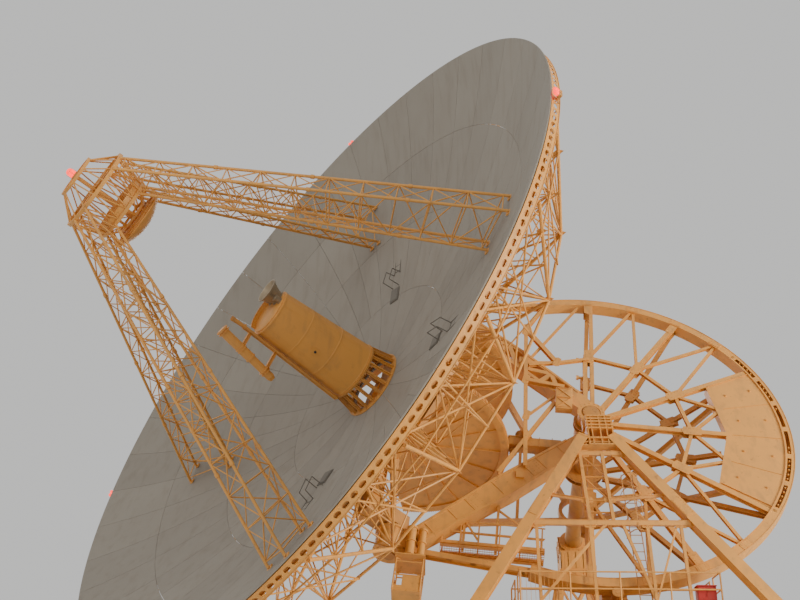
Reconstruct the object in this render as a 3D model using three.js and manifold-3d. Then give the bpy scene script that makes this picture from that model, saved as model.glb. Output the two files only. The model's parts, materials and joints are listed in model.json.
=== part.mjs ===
// A 26 m equatorial radio telescope: a Cassegrain dish on an hour-angle and declination mount.
// Millimetres, +Z up. The polar axis rises from back (+Y) to front (-Y); X runs to the right.
// The origin is on the ground, in the middle of the drive platform's base slab.
import * as THREE from "three";
import { mergeVertices } from "three/addons/utils/BufferGeometryUtils.js";
import Module from "manifold-3d";

const wasm = await Module();
wasm.setup();

// Mount
const POLE_TILT = 25.93; // rise of the polar axis above the horizon, degrees
const HUB_HEIGHT = 14790; // front hub of the wheel above the ground
const AXES_FOOT = 230; // from the front hub back to the level of the declination axis
const HOUR = 83.87; // hour angle of the pictured pose, degrees from the meridian
const DECLINATION = 40.82; // declination of the pictured pose, degrees toward the pole
const AXIS_OFFSET = 6570; // declination axis from the polar axis
const BEARING_HALF = 6180; // half distance between the declination bearings

// Hour-angle wheel, in the polar frame
const WHEEL_Z = -30;
const WHEEL_R = 7260;
const RIM_DEPTH = 340;
const RIM_WIDTH = 480;
const RIM_START = 74; // degrees from the dish side
const RIM_END = 286;
const RING_R = 3700; // polygon ring half way along the spokes
const PLATE_R = 4980; // inner edge of the counterweight plate
const FRONT_HUB_Z = 200;
const REAR_HUB_Z = -2300;
const SHAFT_R = 340;
const FRONT_BEARING_Z = 520;
const FRONT_HUB_R = 600;
const REAR_BEARING_Z = -7000;

// Reflector, in the dish frame: z along the dish axis from the vertex
const DISH_R = 12950;
const FOCAL = 10970;
const VERTEX_OFFSET = 1880; // vertex in front of the declination axis
const SKIN = 70;
const RIM_BAND = 350;
const RIBS = 20;
const HOOP_R = 9600;
const INNER_R = 4200;
const INNER_Z = -450;
const LEG_FOOT_IN = 7600;
const LEG_FOOT_OUT = 9300;
const CONE_TOP_Z = 4800;
const CONE_BASE_Z = 1000;

const V = (x, y, z) => new THREE.Vector3(x, y, z);
const rad = THREE.MathUtils.degToRad;
const dishZ = (r) => (r * r) / (4 * FOCAL);
const around = (r, degrees, z) => V(r * Math.cos(rad(degrees)), r * Math.sin(rad(degrees)), z);

// Materials
const paint = (color, roughness = 0.55, metalness = 0.1) =>
  new THREE.MeshStandardMaterial({ color, roughness, metalness });
const ochre = paint(0xe5a453);
const ochreShade = paint(0xcb8e45);
const dishPaint = paint(0x958e82, 0.7, 0.05);
const steel = paint(0x8d8a84, 0.35, 0.8);
const cabinetRed = paint(0xa8281c);
const lampRed = paint(0xff2a1c, 0.3, 0);
const concrete = paint(0xa7a49c, 0.9, 0);

// Solids
function solidOf(geometry) {
  const plain = geometry.clone();
  plain.deleteAttribute("normal");
  plain.deleteAttribute("uv");
  const merged = mergeVertices(plain, 1e-2);
  return new wasm.Manifold(
    new wasm.Mesh({
      numProp: 3,
      vertProperties: new Float32Array(merged.attributes.position.array),
      triVerts: new Uint32Array(merged.index.array),
    }),
  );
}

function join(solids) {
  let all = solids.slice();
  while (all.length > 1) {
    const next = [];
    for (let i = 0; i < all.length; i += 2) next.push(i + 1 < all.length ? all[i].add(all[i + 1]) : all[i]);
    all = next;
  }
  return all[0];
}

function geometryOf(solid) {
  const mesh = solid.getMesh();
  const positions = new Float32Array(mesh.numVert * 3);
  for (let i = 0; i < mesh.numVert; i++) {
    positions.set(mesh.vertProperties.subarray(i * mesh.numProp, i * mesh.numProp + 3), i * 3);
  }
  const geometry = new THREE.BufferGeometry();
  geometry.setAttribute("position", new THREE.BufferAttribute(positions, 3));
  geometry.setIndex(new THREE.BufferAttribute(new Uint32Array(mesh.triVerts), 1));
  geometry.computeVertexNormals();
  return geometry;
}

// Places a geometry that stands along +Z at a, pointing to b; its Y side faces as near to `up` as it can.
function along(geometry, a, b, up = V(0, 0, 1)) {
  const z = b.clone().sub(a).normalize();
  let hint = up.clone();
  if (Math.abs(hint.dot(z)) > 0.98) hint = V(0.3, 1, 0.2);
  const x = hint.clone().cross(z).normalize();
  const y = z.clone().cross(x);
  geometry.applyMatrix4(new THREE.Matrix4().makeBasis(x, y, z).setPosition(a));
  return geometry;
}

// A straight bar of w x h section, longer by `over` at both ends so that bars meet inside each other.
function bar(a, b, w, h = w, up = V(0, 0, 1), over = 0) {
  const length = a.distanceTo(b) + 2 * over;
  const box = new THREE.BoxGeometry(w, h, length);
  box.translate(0, 0, length / 2 - over);
  return solidOf(along(box, a, b, up));
}

function rod(a, b, r, sides = 8) {
  const length = a.distanceTo(b);
  const cylinder = new THREE.CylinderGeometry(r, r, length, sides);
  cylinder.rotateX(Math.PI / 2);
  cylinder.translate(0, 0, length / 2);
  return solidOf(along(cylinder, a, b));
}

const largest = (solid) => solid.decompose().sort((a, b) => b.volume() - a.volume())[0];

// A light three-sided bar for bracing.
const strut = (a, b, r) => rod(a, b, r, 3);

function block(x0, x1, y0, y1, z0, z1) {
  const box = new THREE.BoxGeometry(x1 - x0, y1 - y0, z1 - z0);
  box.translate((x0 + x1) / 2, (y0 + y1) / 2, (z0 + z1) / 2);
  return solidOf(box);
}

// A flat outline in the x-y plane, from z0 to z1.
function plate(points, z0, z1, holes = []) {
  const outline = points.map((p) => new THREE.Vector2(p[0], p[1]));
  if (THREE.ShapeUtils.isClockWise(outline)) outline.reverse();
  const shape = new THREE.Shape(outline);
  for (const hole of holes) shape.holes.push(new THREE.Path(hole.map((p) => new THREE.Vector2(p[0], p[1]))));
  const geometry = new THREE.ExtrudeGeometry(shape, { depth: z1 - z0, bevelEnabled: false });
  geometry.translate(0, 0, z0);
  return solidOf(geometry);
}

const closed = (outline) => outline.concat([outline[0]]);
const arcPoints = (r, from, to, steps) =>
  Array.from({ length: steps + 1 }, (_, i) => {
    const p = around(r, from + ((to - from) * i) / steps, 0);
    return [p.x, p.y];
  });

function revolve(profile, segments) {
  const geometry = new THREE.LatheGeometry(
    profile.map((p) => new THREE.Vector2(p[0], p[1])),
    segments,
  );
  geometry.rotateX(Math.PI / 2);
  return solidOf(geometry);
}

// Revolved about the z axis; the profile is [r, z] and runs so that faces point out.
function turned(profile, segments = 40) {
  const solid = revolve(profile, segments);
  return solid.volume() < 0 ? revolve(profile.slice().reverse(), segments) : solid;
}

function loop(points, size, up) {
  return points.map((p, i) => bar(p, points[(i + 1) % points.length], size, size, up, size * 0.3));
}

const telescope = new THREE.Group();
function add(parent, name, material, ...solids) {
  const mesh = new THREE.Mesh(geometryOf(join(solids)), material);
  mesh.name = name;
  parent.add(mesh);
  return mesh;
}

// Frames: axisFrame sits on the polar axis at the level of the declination axis, with z toward the pole.
const pole = V(0, -Math.cos(rad(POLE_TILT)), Math.sin(rad(POLE_TILT)));
const hub = V(0, 0, HUB_HEIGHT);
const axesFoot = hub.clone().addScaledVector(pole, -AXES_FOOT);
const axisFrame = new THREE.Group();
axisFrame.position.copy(axesFoot);
axisFrame.rotation.x = rad(90 - POLE_TILT);
telescope.add(axisFrame);

const hourFrame = new THREE.Group();
hourFrame.rotation.z = rad(90 + HOUR);
axisFrame.add(hourFrame);

const dishFrame = new THREE.Group();
const dishAxis = V(Math.cos(rad(DECLINATION)), 0, Math.sin(rad(DECLINATION)));
const dishSide = V(0, 1, 0);
dishFrame.matrixAutoUpdate = false;
dishFrame.matrix
  .makeBasis(dishSide, dishAxis.clone().cross(dishSide), dishAxis)
  .setPosition(V(AXIS_OFFSET, 0, 0).addScaledVector(dishAxis, VERTEX_OFFSET));
hourFrame.add(dishFrame);

// Pedestal
const LEG_TOP = V(206, -1148, 14200);
const LEG_FOOT = V(9230, -8302, 0);
const LEG_W = 380;
const LEG_D = 330;
const legAt = (z, side) => {
  const t = (LEG_TOP.z - z) / (LEG_TOP.z - LEG_FOOT.z);
  const p = LEG_TOP.clone().lerp(LEG_FOOT, t);
  p.x *= side;
  return p;
};

// Takes a solid of a nested frame to the ground frame.
function placed(solid, frame) {
  frame.updateWorldMatrix(true, false);
  return solid.transform(frame.matrixWorld.elements);
}

const CLEAR = 0.4; // gap between pieces that bear on each other
const ROUND = 64; // sides of a journal and of its bore
const boreFor = (r) => (r + 0.3) / Math.cos(Math.PI / ROUND); // a bore whose flats clear the journal

// Cuts a neighbour out of a solid and leaves the bearing gap all round it.
function clearOf(solid, other) {
  let cut = solid;
  for (let corner = 0; corner < 8; corner += 1) {
    const way = [corner & 1, corner & 2, corner & 4].map((bit) => (bit ? CLEAR : -CLEAR));
    cut = cut.subtract(other.translate(way));
  }
  return cut;
}

// Ground pieces
add(telescope, "base_slab", concrete, block(-3500, 3500, -4200, 700, 0, 300));
for (const [side, name] of [[-1, "left"], [1, "right"]]) {
  const x = side * LEG_FOOT.x;
  add(
    telescope,
    "front_foot_" + name,
    concrete,
    block(x - 900, x + 900, LEG_FOOT.y - 900, LEG_FOOT.y + 900, 0, 300),
    block(x - 520, x + 520, LEG_FOOT.y - 420, LEG_FOOT.y + 620, 299, 340),
  );
}

// Front bearing head: a bored drum close to the wheel, on a block of stacked plates between the legs
function headBody(grow) {
  const g = grow;
  const slab = (x0, x1, y0, y1, z0, z1) => block(x0 - g, x1 + g, y0 - g, y1 + g, z0 - g, z1 + g);
  return join([
    rod(V(0, 0, 300 - g), V(0, 0, 740 + g), 500 + g, 32),
    slab(-420, 420, -900, -200, 620, 860),
    slab(-340, 600, -2000, -560, 640, 1178),
    slab(-600, 860, -2040, -1800, 860, 1150),
  ]);
}
const headBore = rod(V(0, 0, 0), V(0, 0, 1000), boreFor(SHAFT_R), ROUND);
const head = headBody(0).subtract(headBore);
add(axisFrame, "front_head", ochre, head);
const headRoom = placed(headBody(CLEAR), axisFrame);
axisFrame.updateWorldMatrix(true, false);

// Front legs: box sections in a plane parallel to the wheel
const legSide = pole.clone();
const halfSpace = (x0, x1) => block(x0, x1, -4000, 4000, 9000, 16000);
for (const [side, name] of [[-1, "left"], [1, "right"]]) {
  const top = legAt(13980, side);
  const foot = legAt(-300, side);
  const leg = bar(top, foot, LEG_W, LEG_D, legSide)
    .subtract(headRoom)
    .subtract(block(-12000, 12000, -12000, 4000, -2000, 340 + CLEAR))
    .subtract(side < 0 ? halfSpace(-3, 3000) : halfSpace(-3000, 3));
  add(telescope, "front_leg_" + name, ochre, leg);
}

// Bracing between the front legs, cut to their inner faces
const frontAt = (x, z) => V(x, legAt(z, 1).y, z);
const TIE_Z = 10280;
const TOP_TIE_Z = 13050;
const STRUT_Z = 11150;
const DECK_Z = 7500;
const HANGER_Y = -3660;
const legRoom = [-1, 1].map((side) =>
  bar(legAt(14300, side), legAt(-300, side), LEG_W + 2 * CLEAR, LEG_D + 2 * CLEAR, legSide),
);
let bracing = join([
  bar(frontAt(-legAt(TIE_Z, 1).x, TIE_Z), frontAt(legAt(TIE_Z, 1).x, TIE_Z), 170, 170),
  bar(frontAt(-legAt(TOP_TIE_Z, 1).x, TOP_TIE_Z), frontAt(legAt(TOP_TIE_Z, 1).x, TOP_TIE_Z), 150, 150),
  bar(frontAt(-legAt(STRUT_Z + 200, 1).x, STRUT_Z + 200), frontAt(-700, STRUT_Z), 110, 110, undefined, 40),
  bar(frontAt(legAt(STRUT_Z + 200, 1).x, STRUT_Z + 200), frontAt(60, STRUT_Z), 110, 110, undefined, 40),
  bar(frontAt(-700, TOP_TIE_Z), frontAt(-700, TIE_Z), 110, 110, undefined, 60),
  bar(frontAt(60, TOP_TIE_Z), frontAt(60, TIE_Z), 110, 110, undefined, 60),
  bar(frontAt(-700, 12100), frontAt(60, 12100), 80, 80, undefined, 30),
  bar(frontAt(-700, STRUT_Z), frontAt(60, STRUT_Z), 80, 80, undefined, 30),
  ...[-2450, -720, 1120, 2200].map((x) =>
    bar(frontAt(x, TIE_Z), V(x, HANGER_Y, DECK_Z + CLEAR), 100, 100, undefined, 0),
  ),
  bar(frontAt(-160, TIE_Z), V(-2450, HANGER_Y + 60, DECK_Z + 230), 90, 90),
  bar(frontAt(330, TIE_Z), V(1120, HANGER_Y + 60, DECK_Z + 230), 90, 90),
  bar(frontAt(-640, TIE_Z), V(-720, HANGER_Y + 60, DECK_Z + 230), 60, 60),
]);
for (const room of legRoom) bracing = bracing.subtract(room);
bracing = bracing.subtract(block(-9000, 9000, -9000, 3000, 0, DECK_Z + CLEAR));
add(telescope, "front_bracing", ochre, bracing);

// Drive platform: a deck on edge beams, under the wheel
const DECK_X = 3200;
const DECK_FRONT = -3850;
const DECK_BACK = -800;
const BEAM_Z = 7130;
const deckCell = (x0, x1) => block(x0, x1, DECK_FRONT + 180, DECK_BACK - 180, BEAM_Z - 10, DECK_Z - 60);
add(
  telescope,
  "drive_platform",
  ochreShade,
  block(-DECK_X, DECK_X, DECK_FRONT, DECK_BACK, BEAM_Z, DECK_Z)
    .subtract(deckCell(-DECK_X + 380, -640))
    .subtract(deckCell(-460, 460))
    .subtract(deckCell(640, DECK_X - 380)),
);

// Railings: posts, a top rail and a knee rail; the back one has a return along each side
function railing(y, xr, posts, returnTo) {
  const z0 = DECK_Z + CLEAR;
  const pieces = [];
  for (const z of [z0 + 560, z0 + 1080]) {
    pieces.push(block(-xr - 30, xr + 30, y - 30, y + 30, z - 30, z + 30));
    if (returnTo === undefined) continue;
    for (const x of [-xr, xr]) pieces.push(block(x - 30, x + 30, returnTo - 30, y, z - 30, z + 30));
  }
  const feet = posts.map((x) => [x, y]);
  if (returnTo !== undefined) feet.push([-xr, returnTo], [xr, returnTo]);
  for (const [x, py] of feet) pieces.push(block(x - 34, x + 34, py - 34, py + 34, z0, z0 + 1114));
  return pieces;
}
add(telescope, "railing_front", ochre, ...railing(DECK_FRONT + 60, 3100, [-3100, -1550, 0, 1550, 3100]));
add(
  telescope,
  "railing_back",
  ochre,
  ...railing(DECK_BACK - 60, DECK_X - 60, [-3140, -1570, 0, 1570, 3140], -2300),
);

// Red cabinet at the front right of the deck
add(
  telescope,
  "cabinet",
  cabinetRed,
  block(2400, 2980, -3640, -3280, DECK_Z + CLEAR + 60, DECK_Z + 700),
  block(2420, 2500, -3620, -3300, DECK_Z + CLEAR, DECK_Z + 70),
  block(2880, 2960, -3620, -3300, DECK_Z + CLEAR, DECK_Z + 70),
  block(2380, 3000, -3660, -3260, DECK_Z + 690, DECK_Z + 730),
);

// Platform tower
const TX = 2950;
const TF = -3600;
const TB = -1050;
const TOWER_TOP = BEAM_Z - CLEAR;
const RING_LOW = 3400;
const RING_HIGH = 6300;
const towerCorner = (sx, y, z) => V(sx * TX, y, z);
const tower = [];
for (const sx of [-1, 1]) {
  for (const y of [TF, TB]) {
    tower.push(bar(towerCorner(sx, y, 300 + CLEAR), towerCorner(sx, y, TOWER_TOP), 260, 260));
  }
  for (const z of [RING_LOW, RING_HIGH]) {
    tower.push(bar(towerCorner(sx, TF, z), towerCorner(sx, TB, z), 160, 160));
  }
  tower.push(bar(towerCorner(sx, TF, 700), towerCorner(sx, TB, RING_LOW), 130, 130));
  tower.push(bar(towerCorner(sx, TB, RING_LOW), towerCorner(sx, TF, RING_HIGH), 130, 130));
}
for (const y of [TF, TB]) {
  for (const z of [RING_LOW, RING_HIGH]) {
    tower.push(bar(towerCorner(-1, y, z), towerCorner(1, y, z), 160, 160));
  }
  tower.push(bar(towerCorner(-1, y, 700), towerCorner(1, y, RING_LOW), 130, 130));
  tower.push(bar(towerCorner(1, y, 700), towerCorner(-1, y, RING_LOW), 130, 130));
  tower.push(bar(towerCorner(-1, y, RING_LOW), towerCorner(1, y, RING_HIGH), 130, 130));
  tower.push(bar(towerCorner(1, y, RING_LOW), towerCorner(-1, y, RING_HIGH), 130, 130));
}
add(telescope, "platform_tower", ochre, ...tower);

// Hour-angle drive: pinion under the rim and its gearbox behind the wheel, standing on the deck
const PINION_R = 190;
const pinionY = -(WHEEL_R + 25 + PINION_R);
const drive = join([
  placed(rod(V(0, pinionY, -420), V(0, pinionY, 230), PINION_R, 16), axisFrame),
  placed(block(-430, 430, pinionY - 330, pinionY + 600, -980, -390), axisFrame),
  placed(rod(V(0, pinionY + 420, -1500), V(0, pinionY + 420, -900), 180, 12), axisFrame),
  block(-520, 520, -2600, -1700, DECK_Z - 50, DECK_Z + 90),
  block(-380, 380, -2550, -1750, DECK_Z - 50, DECK_Z + 300),
]).subtract(block(-900, 900, -4000, 0, 6000, DECK_Z + CLEAR));
add(telescope, "hour_drive", steel, drive);

// Ladder from the deck up behind the bracing
const ladder = [];
const ladderAt = (t, x) => V(x, -3600 + 1730 * t, DECK_Z - 30 + 4780 * t);
for (const x of [640, 1010]) ladder.push(bar(ladderAt(0, x), ladderAt(1, x), 60, 60));
for (let i = 1; i <= 13; i++) ladder.push(strut(ladderAt(i / 14, 640), ladderAt(i / 14, 1010), 24));
for (const [t, z] of [[0.965, 12100], [0.765, STRUT_Z]]) {
  ladder.push(bar(ladderAt(t, 650), V(60, frontAt(0, z).y, z), 60, 60));
}
add(
  telescope,
  "access_ladder",
  ochreShade,
  clearOf(join(ladder), bracing).subtract(block(-5000, 5000, -5000, 5000, 0, DECK_Z + CLEAR)),
);

// Rear bearing: a bored housing on the lower end of the shaft, standing on the rear tower's saddle
const rearBore = rod(
  V(0, 0, REAR_BEARING_Z - 1200),
  V(0, 0, REAR_BEARING_Z + 1200),
  boreFor(SHAFT_R),
  ROUND,
);
const rearHousing = join([
  placed(block(-620, 620, -520, 620, REAR_BEARING_Z - 330, REAR_BEARING_Z + 330), axisFrame),
  placed(rod(V(0, 0, REAR_BEARING_Z - 460), V(0, 0, REAR_BEARING_Z + 420), 560, 20), axisFrame),
  block(-620, 620, 5700, 6900, 10600, 11420),
]).subtract(placed(rearBore, axisFrame));
add(telescope, "rear_housing", ochre, rearHousing);

// Rear tower: a narrow four-legged pyramid
const SADDLE_Z = 10600 - CLEAR;
const rearCorner = (sx, sy, z) => {
  const t = (SADDLE_Z - z) / SADDLE_Z;
  return V(sx * (520 + 2080 * t), 6300 + sy * (480 + 3300 * t), z);
};
const REAR_RINGS = [700, 4000, 7200, 10300];
function rearTowerBars(grow = 0) {
  const size = (w) => w + 2 * grow;
  const bars = [];
  for (const sx of [-1, 1]) {
    for (const sy of [-1, 1]) {
      bars.push(bar(rearCorner(sx, sy, 100), rearCorner(sx, sy, SADDLE_Z - 80), size(280), size(280)));
    }
  }
  for (let i = 0; i < 3; i++) {
    const [lo, hi] = [REAR_RINGS[i], REAR_RINGS[i + 1]];
    for (const s of [-1, 1]) {
      if (i > 0) bars.push(bar(rearCorner(s, -1, lo), rearCorner(s, 1, lo), size(150), size(150)));
      if (i > 0) bars.push(bar(rearCorner(-1, s, lo), rearCorner(1, s, lo), size(150), size(150)));
      bars.push(bar(rearCorner(s, -1, lo), rearCorner(s, 1, hi), size(120), size(120)));
      bars.push(bar(rearCorner(-1, s, lo), rearCorner(1, s, hi), size(120), size(120)));
    }
  }
  return bars;
}
const rearSaddle = block(-660, 660, 5660, 6940, SADDLE_Z - 240, SADDLE_Z);
const belowRear = block(-9000, 9000, 0, 15000, -900, 300 + CLEAR);
const aboveRear = block(-9000, 9000, 0, 15000, SADDLE_Z, 16000);
const rearTower = join([rearSaddle, ...rearTowerBars()]).subtract(belowRear).subtract(aboveRear);
add(telescope, "rear_tower", ochre, rearTower);
for (const [side, name] of [[-1, "left"], [1, "right"]]) {
  const x = side * rearCorner(1, 1, 300).x;
  const y0 = rearCorner(1, -1, 300).y - 550;
  const y1 = rearCorner(1, 1, 300).y + 550;
  add(telescope, "rear_foot_" + name, concrete, block(x - 500, x + 500, y0, y1, 0, 300));
}

// Link girder between the two towers
const linkPoint = (sx, t, top) =>
  V(sx * 1500, TB, top ? RING_HIGH : RING_HIGH - 1500).lerp(rearCorner(sx, -1, top ? 7200 : 5700), t);
const link = [];
for (const sx of [-1, 1]) {
  link.push(bar(linkPoint(sx, 0, true), linkPoint(sx, 1, true), 160, 160));
  link.push(bar(linkPoint(sx, 0.02, false), linkPoint(sx, 1, false), 160, 160));
  link.push(bar(linkPoint(sx, 0.04, false), linkPoint(sx, 0.04, true), 110, 110));
  for (const t of [0.05, 0.36, 0.67]) {
    link.push(strut(linkPoint(sx, t, false), linkPoint(sx, t + 0.3, true), 60));
  }
}
for (const t of [0.06, 0.7]) {
  link.push(bar(linkPoint(-1, t, true), linkPoint(1, t, true), 110, 110));
  link.push(bar(linkPoint(-1, t, false), linkPoint(1, t, false), 110, 110));
}
const linkBody = join(link)
  .subtract(join(rearTowerBars(CLEAR)))
  .subtract(block(-3000, 3000, TB - 500, TB + 80 + CLEAR, 0, 9000));
add(telescope, "link_girder", ochre, largest(linkBody));

// Polar frame
// Shaft through both bearings, with a front and a rear hub for the spokes
const shaft = join([
  rod(V(0, 0, REAR_BEARING_Z - 700), V(0, 0, FRONT_BEARING_Z + 250), SHAFT_R, ROUND),
  rod(V(0, 0, FRONT_HUB_Z - 170), V(0, 0, FRONT_HUB_Z + 60), FRONT_HUB_R, 24),
  rod(V(0, 0, WHEEL_Z - 500), V(0, 0, FRONT_HUB_Z - 100), 560, 16),
  rod(V(0, 0, REAR_HUB_Z - 300), V(0, 0, WHEEL_Z - 400), 430, 16),
  rod(V(0, 0, REAR_HUB_Z - 160), V(0, 0, REAR_HUB_Z + 60), 760, 24),
  rod(V(0, 0, -4950), V(0, 0, -4650), 620, 20),
]);
add(hourFrame, "polar_shaft", steel, shaft);

// Rim of the wheel: an arc of box section with a chord plate at each end
const RIM_STEPS = 48;
const rimOut = WHEEL_R;
const rimIn = WHEEL_R - RIM_DEPTH;
const rimEdge = (r) => arcPoints(r, RIM_START, RIM_END, RIM_STEPS);
const rim = plate(
  rimEdge(rimOut).concat(rimEdge(rimIn).reverse()),
  WHEEL_Z - RIM_WIDTH / 2,
  WHEEL_Z + RIM_WIDTH / 2,
);
// Where a chord meets its bearing housing
const CHORD_TIP = V(AXIS_OFFSET - 800, BEARING_HALF + 270, WHEEL_Z);
const chords = [-1, 1].map((s) => {
  const end = around(WHEEL_R - 170, s > 0 ? RIM_START + 1 : RIM_END - 1, WHEEL_Z);
  return bar(end, V(CHORD_TIP.x, s * CHORD_TIP.y, WHEEL_Z), 220, 300, V(0, 0, 1), 0);
});
const yokeTip = (s, t) => V(AXIS_OFFSET - 620, s * BEARING_HALF, 0).multiplyScalar(t);

// Yoke arms: tapered box girders from the hub to the declination bearings
const ARM_STEPS = [[0, 290], [0.15, 360], [0.5, 430], [0.8, 340], [0.97, 300]];
const ARM_HALF = 270;
function armAxes(s) {
  const start = V(-100, s * 620, 0);
  const reach = V(AXIS_OFFSET - 620, s * BEARING_HALF, 0).sub(start);
  return { start, reach, across: V(-reach.y, reach.x, 0).normalize() };
}
function armBody(s, grow = 0) {
  const { start, reach, across } = armAxes(s);
  const edge = (k) =>
    ARM_STEPS.map(([t, half]) =>
      start.clone().addScaledVector(reach, t).addScaledVector(across, k * (half + grow)),
    );
  const outline = edge(1).concat(edge(-1).reverse()).map((p) => [p.x, p.y]);
  return plate(outline, -ARM_HALF - grow, ARM_HALF + grow);
}
// Triangular openings that leave chords and diagonals in the upper arm
const ARM_BAYS = [[0.17, 0.28], [0.3, 0.405], [0.455, 0.56], [0.58, 0.69]];
function armOpenings(s) {
  const { start, reach, across } = armAxes(s);
  const at = (t, w) => {
    const p = start.clone().addScaledVector(reach, t).addScaledVector(across, w);
    return [p.x, p.y];
  };
  const gap = 0.017;
  return join(
    ARM_BAYS.flatMap(([t0, t1], i) => {
      const w = (i % 2 ? -1 : 1) * 270;
      return [
        [at(t0, -w), at(t1 - gap, -w), at(t0, w * 0.55)],
        [at(t1, w), at(t0 + gap, w), at(t1, -w * 0.55)],
      ].map((corners) => plate(corners, -ARM_HALF - 50, ARM_HALF + 50));
    }),
  );
}
const hubRoom = rod(V(0, 0, -600), V(0, 0, 900), 560 + CLEAR, 16).add(
  rod(V(0, 0, FRONT_HUB_Z - 170 - CLEAR), V(0, 0, 900), FRONT_HUB_R + CLEAR, 24),
);

// Declination bearing housings at the tips of the arms
const TRUNNION_R = 200;
function bearingBody(s, grow = 0) {
  const c = V(AXIS_OFFSET, s * BEARING_HALF, 0);
  const x0 = c.x - 850 - grow;
  return join([
    rod(c.clone().add(V(0, -430 - grow, 0)), c.clone().add(V(0, 430 + grow, 0)), 560 + grow, 16),
    block(x0, c.x - 150, c.y - 380 - grow, c.y + 380 + grow, -330 - grow, 330 + grow),
  ]);
}
const armRoom = armBody(1, CLEAR).add(armBody(-1, CLEAR));
for (const [s, name] of [[1, "lower"], [-1, "upper"]]) {
  const beam = s < 0 ? armBody(s).subtract(armOpenings(s)) : armBody(s);
  const arm = beam.subtract(hubRoom).subtract(bearingBody(s, CLEAR));
  add(hourFrame, "yoke_arm_" + name, ochre, largest(arm));
  const bore = rod(V(AXIS_OFFSET, s * 5000, 0), V(AXIS_OFFSET, s * 7000, 0), boreFor(TRUNNION_R), ROUND);
  add(hourFrame, "dec_bearing_" + name, ochreShade, bearingBody(s).subtract(bore));
}
const bearingRoom = bearingBody(1, CLEAR).add(bearingBody(-1, CLEAR));
add(hourFrame, "wheel_rim", ochre, join([rim, ...chords]).subtract(armRoom).subtract(bearingRoom));

// Room for the rim, with the bearing gap
const rimRoom = plate(
  rimEdge(rimOut + 60).concat(rimEdge(rimIn - CLEAR).reverse()),
  WHEEL_Z - RIM_WIDTH / 2 - CLEAR,
  WHEEL_Z + RIM_WIDTH / 2 + CLEAR,
);
// Counterweight plate: two bays of the wheel, opposite the dish
const WEIGHT_FROM = 151;
const WEIGHT_TO = 209.5;
const weightOutline = arcPoints(rimIn + 30, WEIGHT_FROM, WEIGHT_TO, 12).concat(
  [WEIGHT_TO, 180, WEIGHT_FROM].map((a) => {
    const p = around(PLATE_R + (a === 180 ? 0 : 90), a, 0);
    return [p.x, p.y];
  }),
);
const weightPlate = (grow) => {
  const scale = 1 - grow / 3000;
  const outline = weightOutline.map(([x, y]) => [x * scale, y * scale]);
  return plate(grow ? outline : weightOutline, WHEEL_Z - 210 - grow, WHEEL_Z + 190 + grow);
};
const weight = weightPlate(0).subtract(rimRoom);
add(hourFrame, "counterweight_plate", ochre, weight);
const weightRoom = plate(
  arcPoints(rimIn + 60, WEIGHT_FROM - 0.01, WEIGHT_TO + 0.01, 12).concat(
    [WEIGHT_TO + 0.01, 180, WEIGHT_FROM - 0.01].map((a) => {
      const p = around(PLATE_R - 1 + (a === 180 ? 0 : 90), a, 0);
      return [p.x, p.y];
    }),
  ),
  WHEEL_Z - 210 - CLEAR,
  WHEEL_Z + 190 + CLEAR,
);

// Spokes: a front and a rear set, each tied by a polygon ring, with struts from the ring to the rim
const spokeAt = (hubZ, rimZ, r, a) => around(r, a, hubZ + ((rimZ - hubZ) * (r - 700)) / (rimIn - 700));
function spokeSet(hubZ, rimZ, hubR, size, ringSize, strutW) {
  const at = (r, a) => spokeAt(hubZ, rimZ, r, a);
  const bars = [];
  SPOKE_ANGLES.forEach((a, i) => {
    bars.push(bar(at(hubR, a), at(rimIn + 40, a), size, size));
    if (i === 0) return;
    bars.push(bar(at(RING_R, SPOKE_ANGLES[i - 1]), at(RING_R, a), ringSize, ringSize, undefined, 30));
    if (!strutW) return;
    const mid = (a + SPOKE_ANGLES[i - 1]) / 2;
    bars.push(bar(at(RING_R, SPOKE_ANGLES[i - 1]), at(rimIn + 20, mid - 0.5), strutW, strutW));
    bars.push(bar(at(RING_R, a), at(rimIn + 20, mid + 0.5), strutW, strutW));
  });
  return join(bars);
}
const SPOKE_ANGLES = [90, 120, 150, 180, 210, 240, 270];
const hubFlange = rod(
  V(0, 0, FRONT_HUB_Z - 170 - CLEAR),
  V(0, 0, FRONT_HUB_Z + 60 + CLEAR),
  FRONT_HUB_R + CLEAR,
  24,
);
const frontSpokes = spokeSet(FRONT_HUB_Z - 60, WHEEL_Z + 100, FRONT_HUB_R - 40, 190, 130, 110);
const spokeRoom = join([rimRoom, hubFlange, hubRoom, weightRoom, armRoom]);
add(hourFrame, "front_spokes", ochre, largest(frontSpokes.subtract(spokeRoom)));
const rearFlange = rod(V(0, 0, REAR_HUB_Z - 160 - CLEAR), V(0, 0, REAR_HUB_Z + 60 + CLEAR), 760 + CLEAR, 24);
const REAR_SPOKE = 160;
const rearSpokes = spokeSet(REAR_HUB_Z - 50, WHEEL_Z - 150, 700, REAR_SPOKE, 120, 0);
const rearRoom = join([rimRoom, rearFlange, weightRoom]);
add(hourFrame, "rear_spokes", ochreShade, largest(rearSpokes.subtract(rearRoom)));

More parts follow.
